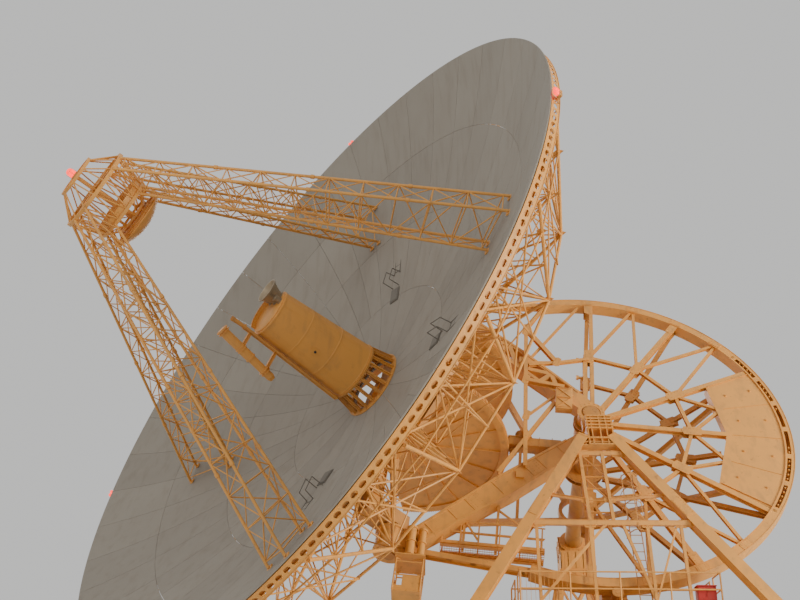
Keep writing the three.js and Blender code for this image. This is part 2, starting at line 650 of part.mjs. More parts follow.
// Braces from the arms and the counterweight back to a collar on the shaft
const COLLAR_Z = -4800;
const braces = [rod(V(0, 0, COLLAR_Z - 150), V(0, 0, COLLAR_Z + 150), 760, 20)];
const braceFoot = (x, y) => V(x, y, 0).normalize().multiplyScalar(690).setZ(COLLAR_Z);
for (const s of [-1, 1]) {
  const tip = yokeTip(s, 0.8);
  const end = V(tip.x, tip.y, -ARM_HALF + 60);
  braces.push(bar(braceFoot(tip.x, tip.y), end, 200, 200));
  const back = around(5600, 180 + s * 24, WHEEL_Z - 150);
  braces.push(bar(braceFoot(back.x, back.y), back, 180, 180));
}
const braceMid = (s) =>
  braceFoot(yokeTip(s, 1).x, yokeTip(s, 1).y).lerp(yokeTip(s, 0.8).setZ(-ARM_HALF), 0.45);
braces.push(bar(braceMid(-1), braceMid(1), 120, 120, undefined, 60));
const collarRoom = rod(V(0, 0, COLLAR_Z - 150 - 2), V(0, 0, COLLAR_Z + 152), 620 + CLEAR, 20).add(
  rod(V(0, 0, COLLAR_Z - 900), V(0, 0, COLLAR_Z + 1500), SHAFT_R + 40, 20),
);
const roomSize = REAR_SPOKE + 2 * CLEAR;
const rearSpokeRoom = spokeSet(REAR_HUB_Z - 50, WHEEL_Z - 150, 700, roomSize, 120 + 2 * CLEAR, 0);
const braceRoom = join([armRoom, weightRoom, rearSpokeRoom, collarRoom]);
add(hourFrame, "yoke_braces", ochreShade, largest(join(braces).subtract(braceRoom)));

// Access basket hung under the lower declination bearing
const BASKET = { x0: 5380, x1: 6250, y0: 7200, y1: 8300, z: 430 };
const basket = [];
for (const x of [BASKET.x0, BASKET.x1]) {
  for (const z of [-BASKET.z, BASKET.z]) {
    basket.push(bar(V(x, BASKET.y0, z), V(x, BASKET.y1, z), 60, 60, undefined, 30));
    const hook = V(x > 6000 ? 6100 : 5850, BEARING_HALF + 380, z * 0.6);
    basket.push(bar(hook, V(x, BASKET.y0, z), 70, 70, undefined, 30));
  }
}
for (const y of [BASKET.y0, BASKET.y1]) {
  for (const z of [-BASKET.z, BASKET.z]) basket.push(bar(V(BASKET.x0, y, z), V(BASKET.x1, y, z), 60, 60));
  for (const x of [BASKET.x0, BASKET.x1]) basket.push(bar(V(x, y, -BASKET.z), V(x, y, BASKET.z), 60, 60));
}
basket.push(block(BASKET.x0, BASKET.x1, BASKET.y1 - 20, BASKET.y1 + 30, -BASKET.z, BASKET.z));
add(
  hourFrame,
  "access_basket",
  ochre,
  join(basket).subtract(bearingBody(1, CLEAR)),
);

// Declination drive: gearbox on the lower arm and pinion under the toothed sector
const SECTOR_R = 3700;
const SECTOR_Y = 1600;
const SECTOR_HALF = 90;
const decPinionX = AXIS_OFFSET - SECTOR_R - 15 - 130;
const decDrive = join([
  rod(V(decPinionX, 1300, 0), V(decPinionX, SECTOR_Y + SECTOR_HALF, 0), 130, 16),
  block(1000, 2950, 1020, 1440, -240, 240),
  rod(V(2500, 620, 0), V(2500, 1030, 0), 170, 14),
]);
add(hourFrame, "dec_drive", steel, largest(decDrive.subtract(armRoom)));

// Reflector
const SKIN_RINGS = [950, 4200, 5600, 8200, 10600, 12560, DISH_R];
const skinProfile = SKIN_RINGS.map((r) => [r, dishZ(r)]).concat(
  SKIN_RINGS.slice().reverse().map((r) => [r, dishZ(r) - SKIN]),
);
add(dishFrame, "reflector_surface", dishPaint, turned(skinProfile.concat([skinProfile[0]])));

const backZ = (r) => dishZ(r) - SKIN;
// Level of the surface under the skirt, on the straight facet between two rings
const SEAT_Z = dishZ(950) + ((dishZ(4200) - dishZ(950)) * (1300 - 950)) / (4200 - 950) + CLEAR;
const BAND_IN = 12560;
const BAND_OUT = 12900;
const bandSlope = (backZ(DISH_R) - backZ(BAND_IN)) / (DISH_R - BAND_IN);
const bandOutZ = backZ(BAND_IN) + bandSlope * (BAND_OUT - BAND_IN);
const bandProfile = (g) => [
  [BAND_IN - g, backZ(BAND_IN) - CLEAR + g],
  [BAND_OUT + g, bandOutZ - CLEAR + g],
  [BAND_OUT + g, bandOutZ - RIM_BAND - g],
  [BAND_IN - g, backZ(BAND_IN) - RIM_BAND - g],
  [BAND_IN - g, backZ(BAND_IN) - CLEAR + g],
];
add(dishFrame, "rim_girder", ochre, turned(bandProfile(0)));

// Ribs: flat trusses cut from plate, with a cell between every two web bars
const TOP_NODES = [4200, 5600, 8200, 10600, 12560];
const RIB_HALF = 45;
const CHORD_HALF = 55;
const WEB_HALF = 40;
const BAND_KNEE = 12580;
const backChordZ = (r) => {
  if (r < HOOP_R) return INNER_Z * (1 - (r - INNER_R) / (HOOP_R - INNER_R));
  return ((r - HOOP_R) * 3200) / (BAND_KNEE - HOOP_R);
};
const RIB_TOP = TOP_NODES.map((r) => [r, backZ(r) - CLEAR - 0.2 - CHORD_HALF]);
const RIB_BACK = [4200, 6900, 9600, 11500, 12560].map((r) => [r, backChordZ(r)]);
const ribPoint = (az, r, z) => around(r, az, z);
function inset(cell, by) {
  const side = (a, b) => Math.hypot(a[0] - b[0], a[1] - b[1]);
  const [a, b, c] = cell;
  const [la, lb, lc] = [side(b, c), side(c, a), side(a, b)];
  const perimeter = la + lb + lc;
  const centre = [0, 1].map((i) => (la * a[i] + lb * b[i] + lc * c[i]) / perimeter);
  const area = Math.abs((b[0] - a[0]) * (c[1] - a[1]) - (c[0] - a[0]) * (b[1] - a[1])) / 2;
  const scale = 1 - by / ((2 * area) / perimeter);
  return cell.map((p) => [centre[0] + (p[0] - centre[0]) * scale, centre[1] + (p[1] - centre[1]) * scale]);
}
function rib(az) {
  const end = BAND_IN - 4.5;
  const top = RIB_TOP.map(([r, z]) => [r, z + CHORD_HALF]);
  top[4] = [end, top[4][1] - ((top[4][1] - top[3][1]) * 4.5) / (top[4][0] - top[3][0])];
  top.unshift([INNER_R - CHORD_HALF, top[0][1] - 7]);
  const outline = top.concat([
    [end, backChordZ(end) - 75],
    [HOOP_R + 25, -CHORD_HALF],
    [HOOP_R - 20, -CHORD_HALF],
    [INNER_R - CHORD_HALF, INNER_Z - 50],
  ]);
  const cells = [[RIB_BACK[0], RIB_TOP[0], RIB_TOP[1]]];
  for (let i = 0; i < 4; i++) {
    cells.push([RIB_BACK[i], RIB_TOP[i + 1], RIB_BACK[i + 1]]);
    if (i < 3) cells.push([RIB_TOP[i + 1], RIB_BACK[i + 1], RIB_TOP[i + 2]]);
  }
  const flat = plate(outline, -RIB_HALF, RIB_HALF, cells.map((cell) => inset(cell, WEB_HALF)));
  const out = around(1, az, 0);
  const matrix = new THREE.Matrix4().makeBasis(out, V(0, 0, 1), V(out.y, -out.x, 0));
  return flat.transform(matrix.elements);
}
const hoop = (r, z, from, to, size) =>
  Array.from({ length: to - from }, (_, i) => {
    const at = (k) => ribPoint((360 / RIBS) * (from + k), r, z);
    return bar(at(i), at(i + 1), size, size, undefined, 20);
  });
const trussBars = [];
for (let k = 0; k < RIBS; k++) trussBars.push(rib((360 / RIBS) * k));
trussBars.push(...hoop(INNER_R, INNER_Z, 0, RIBS, 100));
trussBars.push(...hoop(HOOP_R, 0, 0, RIBS, 90));
trussBars.push(...hoop(8200, backZ(8200) - 110, 0, RIBS, 80));
const truss = join(trussBars);

// The truss is made in four quarters that meet half way between two ribs.
const QUARTERS = ["lower", "near", "upper", "far"];
QUARTERS.forEach((name, i) => {
  const az = -9 + 90 * i;
  const p = around(16000, az, 0);
  const q = around(16000, az + 90, 0);
  const inset = around(CLEAR, az + 45, 0);
  const wedge = plate([[0, 0], [p.x, p.y], [p.x + q.x, p.y + q.y], [q.x, q.y]], -2000, 4000);
  add(dishFrame, "truss_" + name, ochre, largest(truss.intersect(wedge.translate([inset.x, inset.y, 0]))));
});

// Trunnion girder: a box beam behind the truss, brackets and the two trunnions
const GIRDER_TOP = INNER_Z - 50 - CLEAR;
const GIRDER_LOW = -1000;
const AXIS_Z = -VERTEX_OFFSET;
const girder = [block(-5750, 5750, -350, 350, GIRDER_LOW, GIRDER_TOP)];
for (const s of [-1, 1]) {
  const x0 = s * 5100;
  const x1 = s * 5650;
  girder.push(block(Math.min(x0, x1), Math.max(x0, x1), -420, 420, AXIS_Z - 330, GIRDER_LOW + 20));
  girder.push(rod(V(s * 5300, 0, AXIS_Z), V(s * 6720, 0, AXIS_Z), TRUNNION_R, ROUND));
  girder.push(bar(V(s * 4150, -1400, INNER_Z - 170), V(s * 5300, -300, AXIS_Z + 300), 150, 150));
  girder.push(bar(V(s * 4150, 1400, INNER_Z - 170), V(s * 5300, 300, AXIS_Z + 300), 150, 150));
}
for (const x of [-2200, 2200]) {
  girder.push(block(x - 120, x + 120, -3560, 3560, GIRDER_TOP - 300, GIRDER_TOP));
}
const ringBeam = arcPoints(4330, 0, 360, 20).slice(0, 20);
girder.push(plate(ringBeam, GIRDER_TOP - 200, GIRDER_TOP, [arcPoints(4080, 0, 360, 20).slice(0, 20)]));
const hubPosts = [0, 60, 120, 180, 240, 300].map((a) => {
  const p = around(1150, a + 30, 0);
  return bar(V(p.x, p.y, GIRDER_TOP - 100), V(p.x, p.y, SEAT_Z - SKIN - 5), 130, 130);
});
girder.push(...hubPosts);
girder.push(
  plate(arcPoints(1300, 0, 360, 12).slice(0, 12), GIRDER_TOP - 200, GIRDER_TOP, [
    arcPoints(1000, 0, 360, 12).slice(0, 12),
  ]),
);
const skinRoom = turned(
  closed(skinProfile.map(([r, z], i) => [r, i < SKIN_RINGS.length ? z + 500 : z - CLEAR])),
);
add(dishFrame, "trunnion_girder", ochreShade, join(girder).subtract(skinRoom));

// Declination sectors: toothed plates about the declination axis
const sectorPoint = (r, a) => [r * Math.sin(rad(a)), AXIS_Z - r * Math.cos(rad(a))];
const SECTOR_FROM = -52;
const SECTOR_TO = 97;
const sectorOutline = Array.from({ length: 37 }, (_, i) =>
  sectorPoint(SECTOR_R, SECTOR_FROM + ((SECTOR_TO - SECTOR_FROM) * i) / 36),
).concat([[650, GIRDER_LOW - CLEAR], [-650, GIRDER_LOW - CLEAR]]);
for (const [s, name] of [[1, "lower"], [-1, "upper"]]) {
  const sector = plate(sectorOutline, -SECTOR_HALF, SECTOR_HALF);
  const upright = new THREE.Matrix4().makeBasis(V(0, 1, 0), V(0, 0, 1), V(1, 0, 0));
  const stood = sector.transform(upright.setPosition(V(s * SECTOR_Y, 0, 0)).elements);
  add(dishFrame, "dec_sector_" + name, ochre, stood);
}

// Four lattice legs of three chords, cut to the apex frame's collars
const legSurface = (r) => dishZ(r);
const surfaceRoom = turned(
  SKIN_RINGS.map((r) => [r, dishZ(r) + CLEAR])
    .concat([[DISH_R, -500], [950, -500]])
    .concat([[950, dishZ(950) + CLEAR]]),
);
const COLLAR_LOW = { r: 1150, z: 11000 };
const COLLAR_HIGH = { r: 1500, z: 12100 };
const collarCut = turned(
  [[0, 10200], [COLLAR_LOW.r + CLEAR, 10200], [COLLAR_LOW.r + CLEAR, 11500], [COLLAR_HIGH.r + CLEAR, 11500],
    [COLLAR_HIGH.r + CLEAR, 13500], [0, 13500], [0, 10200]],
  16,
);
function feedLeg(az) {
  const turn = new THREE.Matrix4().makeRotationZ(rad(az));
  const P = (x, y, z) => V(x, y, z).applyMatrix4(turn);
  const inner = [V(LEG_FOOT_IN, 0, legSurface(LEG_FOOT_IN)), V(COLLAR_LOW.r - 60, 0, COLLAR_LOW.z)];
  const outer = (s) => [
    V(LEG_FOOT_OUT, s * 430, legSurface(LEG_FOOT_OUT)),
    V(COLLAR_HIGH.r - 60, s * 330, COLLAR_HIGH.z),
  ];
  const chords = [inner, outer(1), outer(-1)];
  const on = (c, t) => {
    const p = c[0].clone().lerp(c[1], t);
    return P(p.x, p.y, p.z);
  };
  const bars = chords.map((c) => bar(on(c, -0.02), on(c, 1), 110, 110));
  const BAYS = 5;
  for (let i = 0; i < BAYS; i++) {
    const t0 = 0.03 + (i * 0.94) / BAYS;
    const t1 = 0.03 + ((i + 1) * 0.94) / BAYS;
    const flip = i % 2;
    for (const [a, b] of [[0, 1], [0, 2], [1, 2]]) {
      bars.push(strut(on(chords[flip ? a : b], t0), on(chords[flip ? b : a], t1), 40));
    }
  }
  return join(bars).subtract(surfaceRoom).subtract(collarCut);
}
[0, 90, 180, 270].forEach((az, i) => add(dishFrame, "feed_leg_" + QUARTERS[i], ochre, largest(feedLeg(az))));

// Apex frame: three collars joined by posts, cross bars and the lamp post
const apexBars = [
  turned([[1000, 10930], [1150, 10930], [1150, 11070], [1000, 11070], [1000, 10930]], 16),
  turned([[1330, 12010], [1500, 12010], [1500, 12190], [1330, 12190], [1330, 12010]], 16),
  turned([[640, 12780], [780, 12780], [780, 12900], [640, 12900], [640, 12780]], 16),
];
for (let a = 0; a < 360; a += 45) {
  apexBars.push(bar(around(1080, a + 22.5, 11000), around(1420, a + 22.5, 12100), 80, 80));
  apexBars.push(strut(around(1420, a + 22.5, 12100), around(710, a + 22.5, 12840), 60));
  if (a % 90 === 0) {
    apexBars.push(strut(around(1080, a + 22.5, 11000), around(1420, a + 67.5, 12100), 45));
    apexBars.push(bar(around(1400, a, 12120), V(0, 0, 12120), 110, 110));
    apexBars.push(strut(around(720, a, 12810), V(0, 0, 12810), 60));
    apexBars.push(bar(around(1060, a + 45, 11000), around(520, a + 45, 10460), 90, 90, undefined, 10));
  }
}
apexBars.push(rod(V(0, 0, 12060), V(0, 0, 12860), 70, 12));
apexBars.push(turned([[0, 10410], [640, 10410], [640, 10480], [0, 10480], [0, 10410]], 16));
add(dishFrame, "apex_frame", ochre, join(apexBars));

// Subreflector: a shallow convex bowl facing the dish
const SUB_Z = 10410 - CLEAR;
add(
  dishFrame,
  "subreflector",
  ochre,
  turned(
    closed([
      [0, SUB_Z],
      [1130, SUB_Z],
      [1150, SUB_Z - 60],
      [900, SUB_Z - 190],
      [600, SUB_Z - 290],
      [300, SUB_Z - 350],
      [0, SUB_Z - 370],
    ]),
    24,
  ),
);

// Feed cone on a skirt of struts over the opening in the reflector
const CONE_BASE_R = 1100;
const CONE_TOP_R = 900;
add(
  dishFrame,
  "feed_cone",
  ochre,
  turned(
    closed([[0, CONE_BASE_Z], [CONE_BASE_R, CONE_BASE_Z], [CONE_TOP_R, CONE_TOP_Z], [0, CONE_TOP_Z]]),
    48,
  ),
);
const skirt = [
  turned([[1140, SEAT_Z], [1300, SEAT_Z], [1300, 110], [1140, 110], [1140, SEAT_Z]], 20),
  turned([[980, 900], [1090, 900], [1090, CONE_BASE_Z - CLEAR], [980, CONE_BASE_Z - CLEAR], [980, 900]], 20),
];
for (let a = 0; a < 360; a += 18) skirt.push(strut(around(1220, a, 90), around(1035, a, 930), 45));
add(dishFrame, "cone_skirt", ochreShade, join(skirt));

const RAIL_AZ = 330;
const coneRoom = turned(
  closed([
    [0, CONE_BASE_Z - CLEAR],
    [CONE_BASE_R + CLEAR, CONE_BASE_Z - CLEAR],
    [CONE_TOP_R + CLEAR, CONE_TOP_Z + CLEAR],
    [0, CONE_TOP_Z + CLEAR],
  ]),
  48,
);
const railOut = around(1, RAIL_AZ, 0);
const RAIL_TOP_Z = 5400;
const railBar = (w, d) => bar(around(1190, RAIL_AZ, 1040), around(960, RAIL_AZ, RAIL_TOP_Z), w, d, railOut);
const railHorn = rod(around(975, RAIL_AZ, RAIL_TOP_Z - 60), around(975, RAIL_AZ, RAIL_TOP_Z + 500), 90, 12);
add(dishFrame, "cone_rail", ochreShade, join([railBar(240, 220), railHorn]).subtract(coneRoom));
// The tube leans in toward the top of the cone
const tubeAt = (z) => around(1980 - (z - 3500) * 0.18, RAIL_AZ, z);
const railRoom = railBar(242, 222);
const sideTube = join([
  rod(tubeAt(3500), tubeAt(5880), 175, 20),
  rod(tubeAt(5870), tubeAt(6000), 240, 20),
  bar(around(1000, RAIL_AZ, 3900), tubeAt(3900), 120, 120),
  bar(around(920, RAIL_AZ, 5050), tubeAt(5050), 120, 120),
]);
add(dishFrame, "side_tube", ochreShade, largest(sideTube.subtract(coneRoom).subtract(railRoom)));
const hornGuard = arcPoints(830, 185, 300, 14).concat(arcPoints(780, 185, 300, 14).reverse());
const horn = (r, az, z0, z1, r0, r1) => {
  const c = around(r, az, 0);
  return turned([[0, z0], [r0, z0], [r1, z1], [0, z1], [0, z0]], 20).translate([c.x, c.y, 0]);
};
add(
  dishFrame,
  "feed_horns",
  steel,
  rod(V(0, 0, CONE_TOP_Z + CLEAR), V(0, 0, CONE_TOP_Z + 60), 820, 32),
  plate(hornGuard, CONE_TOP_Z + 50, CONE_TOP_Z + 230),
  horn(580, 135, CONE_TOP_Z + 50, CONE_TOP_Z + 580, 240, 470),
  horn(600, 185, CONE_TOP_Z + 50, CONE_TOP_Z + 330, 100, 150),
  horn(670, 92, CONE_TOP_Z + 50, CONE_TOP_Z + 300, 80, 120),
);

// Obstruction lights
[0, 90, 180, 270].forEach((az, i) => {
  const turn = new THREE.Matrix4().makeRotationZ(rad(az)).elements;
  const z = bandOutZ - 180;
  const lamp = join([
    block(BAND_OUT + CLEAR, BAND_OUT + 250, -60, 60, z - 30, z + 30),
    rod(V(BAND_OUT + 190, 0, z), V(BAND_OUT + 190, 0, z + 150), 60, 8),
    rod(V(BAND_OUT + 190, 0, z + 140), V(BAND_OUT + 190, 0, z + 400), 95, 10),
  ]);
  add(dishFrame, "rim_light_" + QUARTERS[i], lampRed, lamp.transform(turn));
});
add(
  dishFrame,
  "apex_light",
  lampRed,
  rod(V(0, 0, 12860 + CLEAR), V(0, 0, 12930), 150, 16).add(rod(V(0, 0, 12920), V(0, 0, 13210), 125, 16)),
);

export default telescope;
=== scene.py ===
import json
import math
import random
from itertools import product

import bmesh
import bpy
from mathutils import Matrix, Vector


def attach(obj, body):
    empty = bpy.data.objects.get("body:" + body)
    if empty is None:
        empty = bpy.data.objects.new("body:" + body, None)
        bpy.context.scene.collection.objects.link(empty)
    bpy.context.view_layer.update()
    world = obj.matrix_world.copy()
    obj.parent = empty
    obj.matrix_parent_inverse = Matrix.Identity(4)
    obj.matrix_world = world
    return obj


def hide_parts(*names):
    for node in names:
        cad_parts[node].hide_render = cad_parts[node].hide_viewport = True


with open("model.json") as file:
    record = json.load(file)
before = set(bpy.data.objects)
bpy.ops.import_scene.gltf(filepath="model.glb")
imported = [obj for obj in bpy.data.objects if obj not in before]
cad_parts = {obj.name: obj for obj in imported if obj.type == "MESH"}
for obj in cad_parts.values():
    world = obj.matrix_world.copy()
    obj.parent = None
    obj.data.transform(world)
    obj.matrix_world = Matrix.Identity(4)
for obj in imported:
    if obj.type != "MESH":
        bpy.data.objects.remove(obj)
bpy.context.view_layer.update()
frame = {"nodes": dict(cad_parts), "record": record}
print("frame loaded:", len(frame["nodes"]), "nodes")

xAxis, yAxis, zUp = Vector((1, 0, 0)), Vector((0, 1, 0)), Vector((0, 0, 1))
sides = (-1, 1)

# where things stand: the same sizes as the frame, in metres and degrees
mount = {
    "poleTilt": 25.93,
    "hubHeight": 14.79,
    "axesFoot": 0.23,
    "hourAngle": 83.87,
    "declination": 40.82,
    "axisOffset": 6.57,
    "bearingHalf": 6.18,
    "vertexOffset": 1.88,
}
wheel = {"radius": 7.26, "level": -0.03, "depth": 0.34, "width": 0.48, "fromAngle": 74, "toAngle": 286}
dish = {
    "radius": 12.93,
    "focal": 10.97,
    "skin": 0.07,
    "ribs": 20,
    "innerRadius": 4.2,
    "innerLevel": -0.45,
    "hoopRadius": 9.6,
    "bandInner": 12.56,
    "bandOuter": 12.9,
    "bandDepth": 0.35,
}


def polar(radius, degrees, height=0.0):
    angle = math.radians(degrees)
    return Vector((radius * math.cos(angle), radius * math.sin(angle), height))


def turned(degrees, axis="Z"):
    return Matrix.Rotation(math.radians(degrees), 4, axis)


def moved(x, y, z):
    return Matrix.Translation((x, y, z))


def columns(x, y, z, origin):
    made = Matrix((x, y, z)).transposed().to_4x4()
    made.translation = origin
    return made


def facingX(spot=(0, 0, 0)):
    return columns(yAxis, zUp, xAxis, spot)  # a unit's z axis points along x


def facingY(spot):
    return columns(xAxis, -zUp, yAxis, spot)


def facingFront(spot):
    return columns(xAxis, zUp, -yAxis, spot)


tilt, lift = math.radians(mount["poleTilt"]), math.radians(mount["declination"])
pole = Vector((0, -math.cos(tilt), math.sin(tilt)))
hubSpot = zUp * mount["hubHeight"] - pole * mount["axesFoot"]
polarPlace = Matrix.Translation(hubSpot) @ turned(90 - mount["poleTilt"], "X")
hourPlace = polarPlace @ turned(90 + mount["hourAngle"])
lookOut = Vector((math.cos(lift), 0, math.sin(lift)))
vertex = xAxis * mount["axisOffset"] + lookOut * mount["vertexOffset"]
dishPlace = hourPlace @ columns(yAxis, lookOut.cross(yAxis), lookOut, vertex)
homes = {"reflector": dishPlace, "polar_frame": hourPlace, "pedestal": Matrix.Identity(4)}


def dishLevel(radius):
    return radius * radius / (4 * dish["focal"])


# shapes
def barPlace(start, end, up=zUp):
    z = (end - start).normalized()
    side = up if abs(z.dot(up.normalized())) < 0.98 else Vector((1, 0.3, 0.1))
    x = side.cross(z).normalized()
    return columns(x, z.cross(x), z, (start + end) / 2)


def addBar(bm, start, end, width, depth=None, up=zUp, shift=(0, 0)):
    start, end = Vector(start), Vector(end)
    size = Matrix.Diagonal((width, depth or width, (end - start).length, 1))
    place = barPlace(start, end, Vector(up)) @ moved(*shift, 0) @ size
    return bmesh.ops.create_cube(bm, size=1, matrix=place)["verts"]


def addTube(bm, start, end, radius, count=8, tip=None):
    start, end = Vector(start), Vector(end)
    return bmesh.ops.create_cone(
        bm, cap_ends=True, segments=count, radius1=radius, radius2=radius if tip is None else tip,
        depth=(end - start).length, matrix=barPlace(start, end),
    )["verts"]


def addAngle(bm, start, end, leg, thick=0.01, up=zUp):
    # rolled angle: two thin legs that meet along one edge
    addBar(bm, start, end, leg, thick, up, (0, -leg / 2))
    addBar(bm, start, end, thick, leg, up, (-leg / 2, 0))


def addBeam(bm, start, end, width, depth=None, thick=0.012, up=zUp):
    # rolled I-beam: web and two flanges
    depth = depth or width
    addBar(bm, start, end, thick, depth - thick, up)
    for side in sides:
        addBar(bm, start, end, width, thick, up, (0, side * (depth - thick) / 2))


def addBoxBeam(bm, start, end, width, depth, lip=0.03, thick=0.024, up=zUp):
    # welded box: two webs set in from the edges of two flanges
    addBar(bm, start, end, width - 2 * lip, depth - 2 * thick, up)
    for side in sides:
        addBar(bm, start, end, width, thick, up, (0, side * (depth - thick) / 2))


def addChain(bm, add, spots, *sizes):
    for start, end in zip(spots, spots[1:]):
        add(bm, start, end, *sizes)


def addBox(bm, low, high, bevel=0):
    low, high = Vector(low), Vector(high)
    place = Matrix.Translation((low + high) / 2) @ Matrix.Diagonal((*(high - low), 1))
    made = bmesh.ops.create_cube(bm, size=1, matrix=place)["verts"]
    if bevel:
        bevelEdges(bm, {e for v in made for e in v.link_edges}, bevel)
    return made


def bevelEdges(bm, edges, offset):
    bmesh.ops.bevel(
        bm, geom=list(edges), offset=offset, offset_type="OFFSET", segments=2, profile=0.5,
        affect="EDGES", material=-1,
    )


def addRibs(bm, axis, spots, half, low, high):
    # thin boxes across one axis, one at each spot; low and high are their reach along the other two
    for spot in spots:
        start, end = list(low), list(high)
        start.insert(axis, spot - half)
        end.insert(axis, spot + half)
        addBox(bm, start, end)


def addTurned(bm, profile, steps=64, centre=(0, 0, 0)):
    # a closed section of (radius, height) points, spun round the z axis
    verts = [bm.verts.new((centre[0] + r, centre[1], centre[2] + z)) for r, z in profile]
    edges = [bm.edges.new((verts[i], verts[(i + 1) % len(verts)])) for i in range(len(verts))]
    bmesh.ops.spin(
        bm, geom=verts + edges, cent=centre, axis=(0, 0, 1), angle=math.tau, steps=steps, use_merge=True,
    )


def addHoop(bm, inner, outer, low, high, steps=48, centre=(0, 0, 0)):
    addTurned(bm, [(inner, low), (outer, low), (outer, high), (inner, high)], steps, centre)


def addRing(bm, radius, level, half, steps=48):
    addHoop(bm, radius - half, radius + half, level - half, level + half, steps)


def addArc(bm, inner, outer, low, high, fromAngle, toAngle, steps=None):
    # a rectangular section, swept along an arc and capped
    corners = ((inner, low), (outer, low), (outer, high), (inner, high))
    face = bm.faces.new([bm.verts.new(polar(r, fromAngle, z)) for r, z in corners])
    bmesh.ops.spin(
        bm, geom=[face], cent=(0, 0, 0), axis=(0, 0, 1), angle=math.radians(toAngle - fromAngle),
        steps=steps or max(2, round(abs(toAngle - fromAngle) / 2.5)), use_duplicate=False,
    )


def rectangle(x, y):
    return [(-x, -y), (x, -y), (x, y), (-x, y)]


def addPlate(bm, points, thick, place=None):
    # a flat outline with thickness, around its own plane
    verts = [bm.verts.new((p[0], p[1], -thick / 2)) for p in points]
    face = bm.faces.new(verts)
    made = bmesh.ops.extrude_face_region(bm, geom=[face])["geom"]
    lifted = [v for v in made if isinstance(v, bmesh.types.BMVert)]
    bmesh.ops.translate(bm, verts=lifted, vec=(0, 0, thick))
    if place is not None:
        bmesh.ops.transform(bm, matrix=place, verts=verts + lifted)


def addBolt(bm, place, radius=0.02, height=0.016):
    if not isinstance(place, Matrix):
        place = Matrix.Translation(place)
    bmesh.ops.create_cone(
        bm, cap_ends=True, segments=6, radius1=radius, radius2=radius, depth=height,
        matrix=place @ moved(0, 0, height / 2),
    )


def addBolts(bm, place, xs, ys, radius=0.02, height=0.016):
    for x, y in product(xs, ys):
        addBolt(bm, place @ moved(x, y, 0), radius, height)


def addBoltCircle(bm, count, reach, level, radius, height, centre=(0, 0, 0)):
    for k in range(count):
        addBolt(bm, Vector(centre) + polar(reach, 360 / count * k, level), radius, height)


def addGusset(bm, spot, normal, along, size, thick=0.016):
    # six-cornered plate with two rows of bolts
    along, normal = Vector(along).normalized(), Vector(normal).normalized()
    place = columns(along, normal.cross(along).normalized(), normal, spot)
    x, y = size / 2, size * 0.31
    addPlate(bm, [(-x, -y), (x, -y), (x * 1.25, 0), (x, y), (-x, y), (-x * 1.25, 0)], thick, place)
    columnsOfBolts = [part * x for part in (-0.62, -0.2, 0.2, 0.62)]
    addBolts(bm, place @ moved(0, 0, thick / 2), columnsOfBolts, (-0.34 * x, 0.34 * x), 0.013, 0.012)


def addFlange(bm, spot, along, up, size, bolts=3, thick=0.03):
    # square end plate with a row of bolts on each side
    along = Vector(along).normalized() * thick
    place = barPlace(Vector(spot) - along, Vector(spot) + along, up)
    half = size / 2
    addPlate(bm, rectangle(half, half), thick * 2, place)
    shifts = [(k / (bolts - 1) - 0.5) * (size - 0.1) for k in range(bolts)]
    addBolts(bm, place @ moved(0, 0, thick), shifts, (0.045 - half, half - 0.045), 0.022, 0.022)


def copies(bm, unit, places):
    # joins a transformed copy of the unit at each place, and frees the unit
    mesh = bpy.data.meshes.new("unit")
    unit.to_mesh(mesh)
    unit.free()
    for place in places:
        one = mesh.copy()
        one.transform(place)
        if place.determinant() < 0:
            one.flip_normals()
        bm.from_mesh(one)
        bpy.data.meshes.remove(one)
    bpy.data.meshes.remove(mesh)


def piece(name, build, body, slot, nodes=(), place=None, smoothAngle=35, recalc=False, material=None):
    bm = bmesh.new()
    build(bm)
    if recalc:
        bmesh.ops.remove_doubles(bm, verts=bm.verts, dist=1e-5)
        bmesh.ops.recalc_face_normals(bm, faces=bm.faces)
    bm.transform(homes[body] if place is None else place)
    mesh = bpy.data.meshes.new(name)
    bm.to_mesh(mesh)
    bm.free()
    for polygon in mesh.polygons:
        polygon.use_smooth = True
    mesh.set_sharp_from_angle(angle=math.radians(smoothAngle))
    made = bpy.data.objects.new(name, mesh)
    bpy.context.scene.collection.objects.link(made)
    mesh.materials.append(material or paints[slot])
    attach(made, body)
    if nodes:
        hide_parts(*nodes)


# finishes
def addNode(tree, kind, values=(), **settings):
    # values is a list of (socket, value or the socket to link)
    made = tree.nodes.new("ShaderNode" + kind)
    for name, value in settings.items():
        setattr(made, name, value)
    for socket, value in values:
        if isinstance(value, bpy.types.NodeSocket):
            tree.links.new(value, made.inputs[socket])
        else:
            made.inputs[socket].default_value = value
    return made


